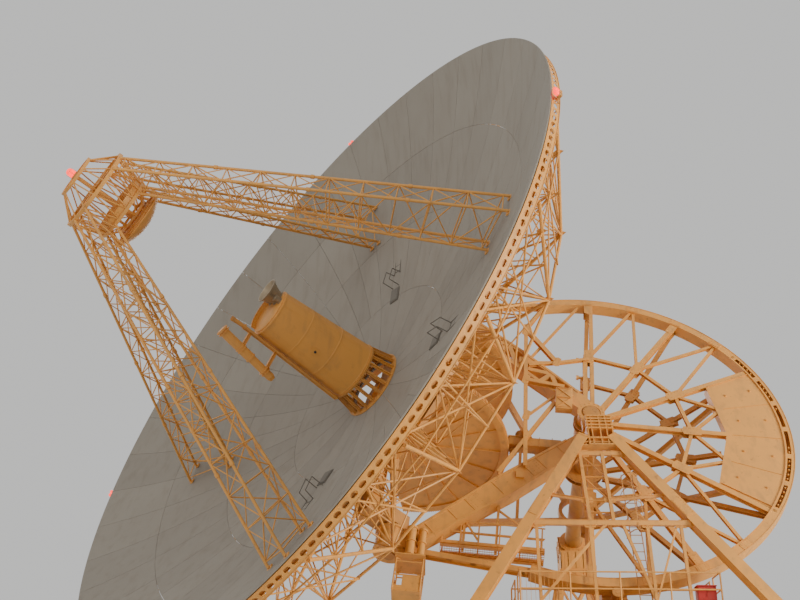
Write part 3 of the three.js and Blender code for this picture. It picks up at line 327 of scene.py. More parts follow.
def weatheredPaintGroup():
    # old outdoor paint: cloudy fading, dirt that runs down, and rust that starts in spots
    group = bpy.data.node_groups.new("weatheredPaint", "ShaderNodeTree")
    for label, kind, value in (
        ("Paint", "Color", (0.8, 0.8, 0.8, 1)),
        ("Dirt Color", "Color", (0.16, 0.12, 0.08, 1)),
        ("Dirt", "Float", 0.5),
        ("Rust", "Float", 0.3),
        ("Gloss", "Float", 0.5),
    ):
        socket = group.interface.new_socket(label, in_out="INPUT", socket_type="NodeSocket" + kind)
        socket.default_value = value
    for label, kind in (("Color", "Color"), ("Roughness", "Float"), ("Height", "Float")):
        group.interface.new_socket(label, in_out="OUTPUT", socket_type="NodeSocket" + kind)
    given = group.nodes.new("NodeGroupInput").outputs
    out = group.nodes.new("NodeGroupOutput").inputs
    where = addNode(group, "TexCoord").outputs["Object"]

    def noise(scale, detail, stretch=(1, 1, 1)):
        mapping = addNode(group, "Mapping", [("Vector", where), ("Scale", stretch)]).outputs["Vector"]
        values = [("Vector", mapping), ("Scale", scale), ("Detail", detail)]
        return addNode(group, "TexNoise", values).outputs["Fac"]

    def ramp(source, low, high):
        values = [("Value", source), ("From Min", low), ("From Max", high)]
        return addNode(group, "MapRange", values, clamp=True).outputs["Result"]

    def reckon(operation, *values):
        return addNode(group, "Math", enumerate(values), operation=operation).outputs[0]

    def mixed(amount, a, b):
        values = [("Factor", amount), ("A", a), ("B", b)]
        return addNode(group, "Mix", values, data_type="RGBA").outputs["Result"]

    clouds = ramp(noise(0.7, 5), 0.35, 0.7)
    runs = ramp(noise(3.2, 5, (1, 1, 0.16)), 0.5, 0.72)
    grain = noise(26, 6)
    spots = ramp(noise(5.5, 8), 0.64, 0.72)
    dirt = reckon("MULTIPLY_ADD", clouds, 0.35, reckon("MULTIPLY", runs, 0.6))
    dirty = mixed(reckon("MULTIPLY", dirt, given["Dirt"]), given["Paint"], given["Dirt Color"])
    rusty = mixed(reckon("MULTIPLY", spots, given["Rust"]), dirty, (0.21, 0.075, 0.025, 1))
    group.links.new(rusty, out["Color"])
    group.links.new(reckon("MULTIPLY_ADD", grain, 0.22, given["Gloss"]), out["Roughness"])
    group.links.new(grain, out["Height"])
    return group


paintEffect = weatheredPaintGroup()


def painted(name, color, dirt=0.5, rust=0.0, gloss=0.42, metallic=0.0, bump=0.04):
    material = bpy.data.materials.new(name)
    material.use_nodes = True
    tree = material.node_tree
    shader = tree.nodes["Principled BSDF"].inputs
    values = [("Paint", (*color, 1)), ("Dirt", dirt), ("Rust", rust), ("Gloss", gloss)]
    effect = tree.nodes.new("ShaderNodeGroup")
    effect.node_tree = paintEffect
    for socket, value in values:
        effect.inputs[socket].default_value = value
    grain = effect.outputs["Height"]
    dents = addNode(tree, "Bump", [("Strength", bump), ("Distance", 0.01), ("Height", grain)])
    tree.links.new(effect.outputs["Color"], shader["Base Color"])
    tree.links.new(effect.outputs["Roughness"], shader["Roughness"])
    tree.links.new(dents.outputs["Normal"], shader["Normal"])
    shader["Metallic"].default_value = metallic
    return material


# the orange of the structure, shade and housing paints is painted sodium lamp light over a cream paint
finishes = {
    "structure_paint": ("structurePaintAndLampLight", (0.79, 0.365, 0.075), {"dirt": 0.42, "rust": 0.35, "gloss": 0.4}),
    # shade_paint is the lamp-tinted structure paint darkened for parts that lie in shade: painted shade
    "shade_paint": ("shadedPaintAndLampLight", (0.62, 0.275, 0.055), {"rust": 0.4, "gloss": 0.45}),
    "housing_paint": ("housingPaintAndLampLight", (0.74, 0.33, 0.065), {"dirt": 0.35, "rust": 0.1, "gloss": 0.38}),
    "panel_paint": ("panelPaint", (0.29, 0.255, 0.205), {"dirt": 0.35, "gloss": 0.55, "bump": 0.02}),
    "bare_steel": ("bareSteel", (0.24, 0.19, 0.14), {"rust": 0.5, "gloss": 0.28, "metallic": 0.8}),
    "horn_metal": ("hornMetal", (0.42, 0.33, 0.22), {"dirt": 0.3, "gloss": 0.3, "metallic": 0.7}),
    "cabinet_red": ("cabinetRed", (0.5, 0.02, 0.012), {"dirt": 0.3, "rust": 0.2, "gloss": 0.3}),
    "lamp_red": ("lampGlass", (0.9, 0.03, 0.015), {"dirt": 0.1, "gloss": 0.12}),
    "concrete": ("concrete", (0.42, 0.4, 0.36), {"dirt": 0.6, "gloss": 0.75, "bump": 0.25}),
}
paints = {slot: painted(name, color, **values) for slot, (name, color, values) in finishes.items()}
blackRubber = painted("blackRubber", (0.03, 0.03, 0.03), dirt=0.2, gloss=0.5)

# each panel of the dish has faded a little differently; the same value paints the hatches darker, as painted
# shade
dishTree = paints["panel_paint"].node_tree
panelColor = dishTree.nodes["Principled BSDF"].inputs["Base Color"]
tone = addNode(dishTree, "Attribute", attribute_name="panelTone").outputs["Fac"]
paintColor = panelColor.links[0].from_socket
faded = addNode(dishTree, "HueSaturation", [("Value", tone), ("Color", paintColor)])
dishTree.links.new(faded.outputs["Color"], panelColor)

lampShader = paints["lamp_red"].node_tree.nodes["Principled BSDF"].inputs
lampShader["Emission Color"].default_value = (1.0, 0.05, 0.03, 1)
lampShader["Emission Strength"].default_value = 2.2

slotOfNode = {row["node"]: row["material_slot"] for row in frame["record"]["subparts"]}
for nodeName, node in frame["nodes"].items():
    for holder in node.material_slots:
        holder.material = paints[slotOfNode[nodeName]]
print("finishes made")

# reflector panels
panels = {
    "rings": [(0.97, 4.2, 20), (4.2, 7.3, 40), (7.3, 10.2, 40), (10.2, 12.94, 40)],
    "gap": 0.012,
    "thick": 0.035,
    "acrossSteps": 4,
    "outSteps": 4,
    "fade": 0.045,
}
rng = random.Random(26)


def buildPanels(bm):
    tone = bm.faces.layers.float.new("panelTone")
    half = panels["gap"] / 2
    for inner, outer, count in panels["rings"]:
        sweep = 360 / count
        across, out = panels["acrossSteps"] * (2 if count == 20 else 1), panels["outSteps"]
        for k in range(count):
            made = bmesh.ops.create_grid(bm, x_segments=across, y_segments=out, size=0.5)["verts"]
            for vert in made:
                radius = inner + half + (vert.co.y + 0.5) * (outer - inner - 2 * half)
                gapAngle = math.degrees(half / radius)
                angle = sweep * k + gapAngle + (vert.co.x + 0.5) * (sweep - 2 * gapAngle)
                vert.co = polar(radius, angle, dishLevel(radius))
            shade = 1 + rng.uniform(-panels["fade"], panels["fade"])
            for face in {f for v in made for f in v.link_faces}:
                face[tone] = shade
    bmesh.ops.recalc_face_normals(bm, faces=bm.faces)
    for face in bm.faces:
        if face.normal.z < 0:
            face.normal_flip()
    bmesh.ops.solidify(bm, geom=bm.faces, thickness=panels["thick"])


piece("reflectorPanels", buildPanels, "reflector", "panel_paint", ["reflector_surface"], smoothAngle=30)
print("panels made")

# rim of the reflector: a perforated band between two flanges
rim = {
    "holes": 240,
    "holeRadius": 0.082,
    "holeStretch": 1.5,
    "webThick": 0.014,
    "flange": 0.1,
    "flangeThick": 0.016,
    "clips": 120,
}


def bandLevels():
    inner, outer = dish["bandInner"], dish["bandOuter"]
    slope = (dishLevel(dish["radius"]) - dishLevel(inner)) / (dish["radius"] - inner)
    top = dishLevel(inner) + slope * (outer - inner) - dish["skin"] - 0.002
    return top - dish["bandDepth"], top


def buildRim(bm):
    low, high = bandLevels()
    inner, outer = dish["bandInner"], dish["bandOuter"]
    half = math.pi * outer / rim["holes"]
    unit = bmesh.new()
    hole = bmesh.ops.create_circle(unit, segments=8, radius=rim["holeRadius"])["verts"]
    edge = bmesh.ops.create_circle(unit, segments=8, radius=1)["verts"]
    for vert in edge:
        x, y = (0 if abs(part) < 0.1 else math.copysign(1, part) for part in vert.co.xy)
        vert.co = (x * half, y * (high - low) / 2, 0)
    for vert in hole:
        vert.co.x *= rim["holeStretch"]
    bmesh.ops.bridge_loops(unit, edges=list({e for v in hole + edge for e in v.link_edges}))
    bmesh.ops.recalc_face_normals(unit, faces=unit.faces)
    bmesh.ops.solidify(unit, geom=unit.faces, thickness=rim["webThick"])
    upright = facingX((outer - 0.02, 0, (low + high) / 2))
    copies(bm, unit, [turned(360 / rim["holes"] * k) @ upright for k in range(rim["holes"])])
    for level in (low, high - rim["flangeThick"]):
        addHoop(bm, outer - rim["flange"], outer, level, level + rim["flangeThick"], 180)
    lip = [(0, 0), (0.07, 0), (0.07, 0.016), (0.016, 0.016), (0.016, 0.2), (0, 0.2)]
    addTurned(bm, [(inner + x, low + z) for x, z in lip], 120)
    for k in range(rim["clips"]):
        angle = 360 / rim["clips"] * (k + 0.5)
        addBar(bm, polar(inner + 0.02, angle, low + 0.03), polar(outer - 0.02, angle, low + 0.03), 0.05, 0.02)
        if k % 3 == 0:
            addBar(bm, polar(inner + 0.03, angle, low + 0.02), polar(outer - 0.04, angle, high - 0.03), 0.04)


piece("reflectorRim", buildRim, "reflector", "structure_paint", ["rim_girder"], smoothAngle=30)

# back structure: ribs, rings and the bracing between them
backTruss = {
    "topNodes": [4.2, 5.0, 5.9, 7.0, 8.2, 9.4, 10.6, 11.6, 12.5],
    "backNodes": [4.2, 5.5, 6.9, 8.3, 9.6, 10.7, 11.65, 12.5],
    "backChord": 0.11,
    "web": 0.055,
    "ring": 0.07,
    "gusset": 0.28,
    "gussetAt": (4.2, 6.9, 9.6, 11.65),
}


def backLevel(radius):
    if radius < dish["hoopRadius"]:
        part = (radius - dish["innerRadius"]) / (dish["hoopRadius"] - dish["innerRadius"])
        return dish["innerLevel"] * (1 - part)
    return (radius - dish["hoopRadius"]) * 3.2 / 2.98


def onTop(radius, angle=0.0):
    return polar(radius, angle, dishLevel(radius) - dish["skin"] - 0.06)


def onBack(radius, angle=0.0):
    return polar(radius, angle, backLevel(radius))


def buildRib(bm):
    tops, backs = backTruss["topNodes"], backTruss["backNodes"]
    web = backTruss["web"] / 2
    for inner, outer in zip(tops, tops[1:]):
        start, end = onTop(inner), onTop(outer)
        addBeam(bm, start, end, 0.09, 0.1, 0.012, yAxis.cross(end - start))
    addChain(bm, addTube, [onBack(radius) for radius in backs], backTruss["backChord"] / 2)
    zigzag = [onBack(backs[0])]
    for k in range(len(backs)):
        zigzag += [onTop(tops[k])] + [onBack(radius) for radius in backs[k + 1:k + 2]]
    for start, end in zip(zigzag, zigzag[1:]):
        if (end - start).length > 0.12:
            addTube(bm, start, end, web, 6)
    for radius in tops[1:6]:
        addTube(bm, onTop(radius), onBack(radius + 0.15), web, 6)
    half = backTruss["gusset"] / 2
    for radius in backTruss["gussetAt"]:
        outline = [(-half * 1.4, -0.04), (half * 1.4, -0.04), (half * 0.7, half), (-half * 0.7, half)]
        addPlate(bm, outline, 0.014, facingFront(onBack(radius)))


def buildBay(bm):
    # what spans from one rib to the next
    step = 360 / dish["ribs"]
    for radius in (5.9, 8.2, 10.6, 12.45):
        addAngle(bm, onTop(radius), onTop(radius, step), backTruss["ring"])
    for radius in (7.0, 9.4, 11.6):
        addTube(bm, onTop(radius), onTop(radius, step), 0.028, 6)
    for radius, size in ((4.2, 0.09), (6.9, 0.07), (9.6, 0.1), (11.65, 0.06)):
        addTube(bm, onBack(radius), onBack(radius, step), size / 2)
    thin, stout = backTruss["web"] / 2, backTruss["web"] * 0.575
    for a, b in ((0, step), (step, 0)):
        addTube(bm, onBack(9.6, a), onTop(12.4, b), stout, 6)
        addTube(bm, onBack(6.9, a), onBack(9.6, b), thin, 6)
        addTube(bm, onBack(4.2, a), onBack(6.9, b), thin, 6)
        addTube(bm, onTop(8.2, a), onTop(10.6, b), thin, 6)
        addTube(bm, onTop(5.9, a), onBack(6.9, step / 2), thin, 6)
        addTube(bm, onBack(9.6, a), onTop(10.6, step / 2), stout, 6)
    for radius in (10.6, 12.4):
        addTube(bm, onBack(9.6, step / 2), onTop(radius, step / 2), thin, 6)


def buildTruss(bm):
    for build in (buildRib, buildBay):
        unit = bmesh.new()
        build(unit)
        copies(bm, unit, [turned(360 / dish["ribs"] * k) for k in range(dish["ribs"])])


quarters = ["lower", "near", "upper", "far"]
trussNodes = ["truss_" + name for name in quarters]
piece("backStructure", buildTruss, "reflector", "structure_paint", trussNodes, smoothAngle=40)
print("rim and back structure made")

# the four lattice legs that carry the apex: (radius, half width, level) at foot and head
legs = {
    "foot": ((7.6, 0.22), (9.3, 0.43)),
    "head": ((1.09, 0.2, 11.0), (1.44, 0.33, 12.1)),
    "bays": 11,
    "chord": 0.05,
    "brace": 0.0225,
}


def legCorner(outer, side, part):
    radius, half = legs["foot"][outer]
    headRadius, headHalf, headLevel = legs["head"][outer]
    foot = Vector((radius, side * half, dishLevel(radius) + 0.05))
    return foot.lerp(Vector((headRadius, side * headHalf, headLevel)), part)


def buildLeg(bm):
    brace, chord, bays = legs["brace"], legs["chord"], legs["bays"]
    for outer, side in product((0, 1), sides):
        start, end = legCorner(outer, side, 0), legCorner(outer, side, 1)
        addTube(bm, start, end, chord, 10)
        addBox(bm, start - Vector((0.13, 0.1, 0.06)), start + Vector((0.13, 0.1, -0.02)))
        along = (end - start).normalized() * 0.06
        for k in range(1, 4):
            middle = start.lerp(end, k / 4)
            addTube(bm, middle - along, middle + along, chord + 0.022, 10)
    corners = ((0, -1), (1, -1), (1, 1), (0, 1))
    parts = [0.015 + 0.97 * k / bays for k in range(bays + 1)]
    frames = [[legCorner(outer, side, part) for outer, side in corners] for part in parts]
    for corner in frames:
        addChain(bm, addTube, corner + corner[:1], brace, 6)
    for k, (corner, ahead) in enumerate(zip(frames, frames[1:])):
        for face in range(4):
            a, b = (face, (face + 1) % 4) if (k + face) % 2 else ((face + 1) % 4, face)
            addTube(bm, corner[a], ahead[b], brace, 6)
            if face in (1, 3):
                addTube(bm, corner[b], ahead[a], brace * 0.8, 6)


for k, name in enumerate(quarters):
    place = dishPlace @ turned(90 * k)
    piece(name + "Leg", buildLeg, "reflector", "structure_paint", ["feed_leg_" + name], place, 40)

# apex: rings, V struts and the secondary mirror's backing
apex = {
    "low": (1.08, 11.0),
    "high": (1.42, 12.1),
    "hub": (0.62, 10.62),
    "end": (0.71, 12.84),
    "vees": 16,
    "lampPost": (12.06, 12.86, 0.07),
    "driveBoxes": (45, 165, 285),
}


def buildApex(bm):
    (lowR, lowZ), (highR, highZ) = apex["low"], apex["high"]
    (hubR, hubZ), (endR, endZ) = apex["hub"], apex["end"]
    addRing(bm, lowR, lowZ, 0.055)
    addRing(bm, highR, highZ, 0.06)
    addRing(bm, hubR, hubZ, 0.04, 32)
    addRing(bm, endR, endZ, 0.05, 40)
    collar = [(-0.02, 0.05), (0, 0.05), (0.05, 0.26), (0.03, 0.26)]
    addTurned(bm, [(lowR + x, lowZ + z) for x, z in collar], 48)
    step = 360 / apex["vees"]
    for k in range(apex["vees"]):
        a = step * k
        head = polar(highR, a + step / 2, highZ)
        for foot in (polar(lowR, a, lowZ), polar(lowR, a + step, lowZ)):
            addTube(bm, foot, head, 0.026, 6)
        if k % 2 == 0:
            addTube(bm, polar(hubR, a, hubZ), polar(lowR, a, lowZ), 0.03, 6)
            addTube(bm, polar(hubR, a, hubZ), polar(lowR, a + step, lowZ), 0.02, 6)
            for foot in (head, polar(highR, a + step * 1.5, highZ)):
                addTube(bm, foot, polar(endR, a + step, endZ), 0.026, 6)
    for a in range(0, 360, 90):
        addBeam(bm, polar(highR, a, highZ), zUp * highZ, 0.1, 0.12, 0.014)
        addTube(bm, polar(highR, a + 45, highZ), zUp * (highZ - 0.02), 0.03)
        addTube(bm, polar(0.5, a + 45, highZ), polar(hubR, a + 45, hubZ), 0.035)
        addBar(bm, polar(endR, a, endZ - 0.03), zUp * (endZ - 0.03), 0.06, 0.05)
    addBox(bm, (-0.1, -0.1, highZ - 0.1), (0.1, 0.1, highZ + 0.1))
    low, high, radius = apex["lampPost"]
    addTube(bm, zUp * low, zUp * high, radius, 12)
    addHoop(bm, 0, 0.16, high - 0.03, high, 16)
    addTube(bm, zUp * (hubZ - 0.16), zUp * highZ, 0.12, 12)
    for a in apex["driveBoxes"]:
        foot = polar(0.42, a, hubZ)
        addTube(bm, foot, foot + zUp * 0.55, 0.05)
        addBox(bm, foot + Vector((-0.09, -0.09, 0.5)), foot + Vector((0.09, 0.09, 0.72)))


piece("apexFrame", buildApex, "reflector", "structure_paint", ["apex_frame"], smoothAngle=40)

secondary = {"radius": 1.13, "level": 10.41, "sag": 0.36, "steps": 72}


def buildSecondary(bm):
    level, sag, radius = secondary["level"], secondary["sag"], secondary["radius"]
    curve = [(radius * t, level - sag * (1 - t ** 2) - 0.02) for t in (0, 0.2, 0.4, 0.6, 0.8, 0.92, 1)]
    back = [(radius + 0.02, level - 0.02), (radius + 0.02, level), (radius - 0.06, level), (0, level - 0.02)]
    addTurned(bm, curve + back, secondary["steps"])
    for k in range(12):
        addBar(bm, polar(0.55, 30 * k, level + 0.03), polar(radius - 0.05, 30 * k, level + 0.015), 0.03, 0.06)
    addRing(bm, 0.62, level + 0.06, 0.05, 32)
    addRing(bm, 0.95, level + 0.03, 0.03, 40)
    for angle in range(15, 360, 60):
        addTube(bm, polar(0.62, angle, level + 0.06), polar(0.62, angle, apex["hub"][1]), 0.035, 6)


piece("secondaryMirror", buildSecondary, "reflector", "housing_paint", ["subreflector"], None, 30, True)
print("legs and apex made")

# feed cone on its skirt of posts
cone = {
    "baseRadius": 1.1,
    "topRadius": 0.9,
    "base": 1.0,
    "top": 4.8,
    "seams": 16,
    "bolts": 48,
    "posts": 20,
    "railSide": 330,
    "port": (27, 2.9),
}
railOut = polar(1, cone["railSide"])


def coneRadius(z):
    part = (z - cone["base"]) / (cone["top"] - cone["base"])
    return cone["baseRadius"] + (cone["topRadius"] - cone["baseRadius"]) * part


def buildCone(bm):
    base, top = cone["base"], cone["top"]
    profile = [(0, base), (coneRadius(base) + 0.03, base), (coneRadius(base) + 0.03, base + 0.03)]
    for level, proud in ((base + 0.03, 0.008), (2.28, 0.008), (3.52, 0.008), (top - 0.08, 0.016)):
        radius = coneRadius(level)
        profile += [
            (radius, level), (radius + proud, level + 0.008), (radius + proud, level + 0.06),
            (radius, level + 0.068),
        ]
    addTurned(bm, profile + [(coneRadius(top), top), (0, top)], 96)
    for k in range(cone["seams"]):
        angle = 360 / cone["seams"] * k + 6
        start, end = polar(coneRadius(base), angle, base), polar(coneRadius(top) + 0.002, angle, top)
        addBar(bm, start, end, 0.05, 0.008, polar(1, angle))
    addBoltCircle(bm, cone["bolts"], coneRadius(base) + 0.02, base + 0.028, 0.014, 0.014)
    angle, level = cone["port"]
    outward = polar(1, angle)
    face = columns(zUp.cross(outward), zUp, outward, polar(coneRadius(level) + 0.004, angle, level))
    turns = [math.tau * k / 16 for k in range(16)]
    addPlate(bm, [(0.16 * math.cos(t), 0.2 * math.sin(t)) for t in turns], 0.02, face)
    for k in range(8):
        addBolt(bm, face @ moved(0.135 * math.cos(k * 0.785), 0.17 * math.sin(k * 0.785), 0.01), 0.01, 0.01)


def buildPort(bm):
    angle, level = cone["port"]
    start = polar(coneRadius(level) + 0.005, angle, level)
    middle, end = start + polar(0.04, angle), start + polar(0.05, angle)
    addTube(bm, start, middle, 0.045, 20)
    addTube(bm, middle, end, 0.03, 20)


def buildSkirt(bm):
    seat = dishLevel(1.3) + 0.01
    foot = [(1.12, 0), (1.34, 0), (1.34, 0.03), (1.18, 0.05), (1.12, 0.05)]
    addTurned(bm, [(r, seat + z) for r, z in foot], 80)
    addHoop(bm, 0.98, 1.12, 0.94, 0.998, 80)
    unit = bmesh.new()
    low, high = (1.22, 0, seat + 0.02), (1.05, 0, 0.96)
    addBar(unit, low, high, 0.15, 0.03, yAxis)
    addBar(unit, low, high, 0.03, 0.14, yAxis)
    addPlate(unit, [(-0.1, 0), (0.1, 0), (0.02, 0.16), (-0.02, 0.16)], 0.014, facingFront(low))
    addBolts(unit, moved(1.3, 0, seat + 0.026), (0,), (-0.06, 0.06), 0.016, 0.016)
    copies(bm, unit, [turned(360 / cone["posts"] * k) for k in range(cone["posts"])])


def buildRail(bm):
    across = zUp.cross(railOut)
    low, high = railOut * 1.24 + zUp * 1.05, railOut * 0.99 + zUp * 5.38
    for shift in (across * -0.085, across * 0.085):
        addTube(bm, low + shift, high + shift, 0.05, 14)
    axis = railOut * 0.975
    addTube(bm, axis + zUp * 5.34, axis + zUp * 5.86, 0.06, 20, 0.088)
    addHoop(bm, 0.07, 0.09, 5.84, 5.9, 24, axis)
    addHoop(bm, 0, 0.11, 5.32, 5.37, 20, axis)
    for k in range(15):
        spot = low.lerp(high, 0.02 + 0.96 * k / 14)
        addBar(bm, spot - across * 0.09, spot + across * 0.09, 0.03)
        if k % 3 == 0:
            addBar(bm, spot - railOut * 0.1, spot + railOut * 0.02, 0.16, 0.012, across)


def tubeSpot(level):
    return polar(1.98 - (level - 3.5) * 0.18, cone["railSide"], level)


def buildSideTube(bm):
    # a pipe that leans in toward the cone's axis, on two stays
    runs = [(3.5, 3.62, 0.1, 24, 0.15), (3.62, 4.6, 0.15, 28), (4.6, 5.88, 0.174, 28), (4.56, 4.62, 0.19, 28)]
    runs += [(5.86, 5.895, 0.235, 36), (5.895, 5.945, 0.18, 36)]
    runs += [(5.945, 5.98, 0.235, 36), (5.98, 6.0, 0.17, 36)]
    runs += [(level - 0.015, level + 0.015, 0.2, 32) for level in (3.85, 3.95, 5.0, 5.1)]
    for low, high, *size in runs:
        addTube(bm, tubeSpot(low), tubeSpot(high), *size)
    lean = barPlace(tubeSpot(5.86), tubeSpot(6.0), railOut)
    for k in range(10):
        addBolt(bm, lean @ turned(36 * k) @ moved(0.205, 0, 0.05), 0.012, 0.014)
    for level, reach in ((3.9, 1.02), (5.05, 0.94)):
        addBeam(bm, polar(reach, cone["railSide"], level), tubeSpot(level), 0.12)


coneSeat = cone["top"] + 0.001


def buildConeTop(bm):
    # bolted disc with an upstand along its far edge
    disc = [(0, 0), (0.84, 0), (0.84, 0.03), (0.8, 0.055), (0, 0.055)]
    addTurned(bm, [(r, coneSeat + z) for r, z in disc], 80)
    addBoltCircle(bm, 24, 0.815, coneSeat + 0.045, 0.014, 0.014)
    low, high = coneSeat + 0.05, coneSeat + 0.225
    addArc(bm, 0.795, 0.815, low, high, 186, 299, 40)
    addArc(bm, 0.78, 0.83, high - 0.02, high, 186, 299, 40)
    for angle in range(190, 295, 13):
        start, end = polar(0.79, angle, low), polar(0.79, angle, high - 0.02)
        addBar(bm, start, end, 0.012, 0.05, polar(1, angle + 90))


horns = [
    {"turn": 135, "reach": 0.58, "throat": 0.23, "mouth": 0.45, "height": 0.52},
    {"turn": 185, "reach": 0.6, "throat": 0.09, "mouth": 0.14, "height": 0.27},
    {"turn": 92, "reach": 0.67, "throat": 0.07, "mouth": 0.11, "height": 0.24},
]


def buildHorns(bm):
    for values in horns:
        centre = polar(values["reach"], values["turn"])
        throat, mouth = values["throat"], values["mouth"]
        low, high = coneSeat + 0.05, coneSeat + 0.05 + values["height"]

        def flare(part):
            return throat + (mouth - throat) * part ** 1.4, low + (high - low) * part

        rings = [flare(k / 8) for k in range(9)]
        inside = [(r - 0.012, z) for r, z in reversed(rings)]
        inside[-1] = (0, low + 0.02)
        lip = [(mouth + 0.02, high - 0.03), (mouth + 0.02, high), (mouth - 0.012, high)]
        addTurned(bm, [(0, low)] + rings[:-1] + lip + inside[1:], 48, centre)
        for reach, level in [flare(k / 6) for k in range(1, 6)]:
            addHoop(bm, reach - 0.004, reach + 0.014, level, level + 0.02, 48, centre)
        addHoop(bm, throat - 0.01, throat + 0.06, low - 0.01, low + 0.025, 48, centre)
        addBoltCircle(bm, 8, throat + 0.04, low + 0.02, 0.01, 0.012, centre)


piece("feedCone", buildCone, "reflector", "housing_paint", ["feed_cone"], smoothAngle=25)
piece("conePort", buildPort, "reflector", "bare_steel", material=blackRubber)
piece("coneSkirt", buildSkirt, "reflector", "shade_paint", ["cone_skirt"])
piece("coneRail", buildRail, "reflector", "shade_paint", ["cone_rail"])
sideTube = {"slot": "shade_paint", "material": paints["housing_paint"]}
piece("sideTube", buildSideTube, "reflector", nodes=["side_tube"], **sideTube)
piece("coneTop", buildConeTop, "reflector", "housing_paint", ["feed_horns"], recalc=True)
piece("feedHorns", buildHorns, "reflector", "horn_metal", ["feed_horns"], recalc=True)
print("cone and horns made")

# small hatches with their handrails on the reflecting surface
# tone paints the hatches darker than the panels: painted shade of their openings
hatches = {"radius": 4.3, "turns": [-16, 74, 168], "size": (0.62, 0.5), "lift": 0.06, "tone": 0.6}


def buildHatches(bm):
    reach = hatches["radius"]
    slope = math.atan(reach / (2 * dish["focal"]))
    x, y = hatches["size"][0] / 2, hatches["size"][1] / 2
    for turn in hatches["turns"]:
        out = polar(1, turn)
        along = (out * math.cos(slope) + zUp * math.sin(slope)).normalized()
        across = zUp.cross(out)
        up = along.cross(across)
        place = columns(along, across, up, polar(reach, turn, dishLevel(reach) + 0.01))

        def spot(*at):
            return place @ Vector(at)

        addPlate(bm, rectangle(x, y), hatches["lift"], place)
        addPlate(bm, rectangle(x - 0.05, y - 0.05), hatches["lift"] + 0.03, place)
        for side in (-0.2, 0.2):
            bends = ((x + 0.1, 0), (x + 0.14, 0.5), (x + 0.7, 0.42), (x + 0.74, 0))
            addChain(bm, addTube, [spot(ahead, side, height) for ahead, height in bends], 0.018)
        for k in range(5):
            step = x + 0.85 + 0.3 * k
            addTube(bm, spot(step, -0.17, 0.03), spot(step, 0.17, 0.03), 0.016)
        for side in (-0.17, 0.17):
            addBar(bm, spot(x + 0.75, side, 0.03), spot(x + 2.15, side, 0.05), 0.03, up=up)
    # the hatches get a tone of 0.6, darker than any panel: painted shade of their openings
    tone = bm.faces.layers.float.new("panelTone")
    for face in bm.faces:
        face[tone] = hatches["tone"]


piece("surfaceHatches", buildHatches, "reflector", "panel_paint")

# twin obstruction lamps on the rim, and one over the apex
lamps = {"reach": 13.09, "apart": 0.085, "glass": 0.07, "height": 0.24}


def dome(reach, level, rise):
    turns = [math.pi * k / 12 for k in range(6)]
    return [(reach * math.cos(t), level + rise * math.sin(t)) for t in turns] + [(0, level + rise)]


def buildLampGlass(bm):
    base = bandLevels()[1] - 0.1
    radius, height = lamps["glass"], lamps["height"]
    for side in sides:
        centre = (lamps["reach"], side * lamps["apart"], 0)
        cap = dome(radius, base + height - 0.07, radius)
        addTurned(bm, [(0, base + 0.051), (radius, base + 0.051)] + cap, 20, centre)
        for k in range(3):
            level = base + 0.07 + 0.035 * k
            addHoop(bm, radius - 0.003, radius + 0.006, level, level + 0.014, 20, centre)


def buildLampHolder(bm):
    low = bandLevels()[1] - 0.17
    x, outer = lamps["reach"], dish["bandOuter"]
    addBox(bm, (outer + 0.001, -0.07, low - 0.02), (x + 0.05, 0.07, low + 0.015))
    addBox(bm, (outer + 0.001, -0.1, low - 0.12), (outer + 0.015, 0.1, low + 0.1))
    addBox(bm, (x - 0.07, -0.17, low + 0.01), (x + 0.07, 0.17, low + 0.07))
    for side in sides:
        addHoop(bm, 0, lamps["glass"] + 0.012, low + 0.07, low + 0.12, 20, (x, side * lamps["apart"], 0))


apexLampSeat = apex["lampPost"][1] + 0.001


def buildApexGlass(bm):
    low = apexLampSeat
    addTurned(bm, [(0, low + 0.071), (0.125, low + 0.071)] + dome(0.125, low + 0.235, 0.1), 32)
    for k in range(6):
        level = low + 0.08 + 0.026 * k
        band = [(0.12, 0), (0.134, 0.004), (0.134, 0.01), (0.12, 0.014)]
        addTurned(bm, [(r, level + z) for r, z in band], 32)


def buildApexHolder(bm):
    low = apexLampSeat
    addTurned(bm, [(0, low), (0.15, low), (0.15, low + 0.02), (0.13, low + 0.07), (0, low + 0.07)], 32)
    for angle in range(45, 360, 90):
        addTube(bm, polar(0.142, angle, low + 0.03), polar(0.142, angle, low + 0.26), 0.006, 6)


for k, name in enumerate(quarters):
    place, nodes = dishPlace @ turned(90 * k), ["rim_light_" + name]
    piece(name + "LampGlass", buildLampGlass, "reflector", "lamp_red", nodes, place, recalc=True)
    piece(name + "LampHolder", buildLampHolder, "reflector", "shade_paint", nodes, place)
piece("apexLampGlass", buildApexGlass, "reflector", "lamp_red", ["apex_light"], recalc=True)
piece("apexLampHolder", buildApexHolder, "reflector", "shade_paint", ["apex_light"])
print("lamps made")

# hour angle wheel: a box rim with slots, splices and studs
wheelRim = {
    "thick": 0.024,
    "recess": 0.016,
    "slots": (151, 217, 11),
    "slotRadii": (6.99, 7.13),
    "splices": [90, 105, 120, 135, 225, 240, 255, 270],
    "studStep": 1.8,
    "studRadius": 7.06,
}


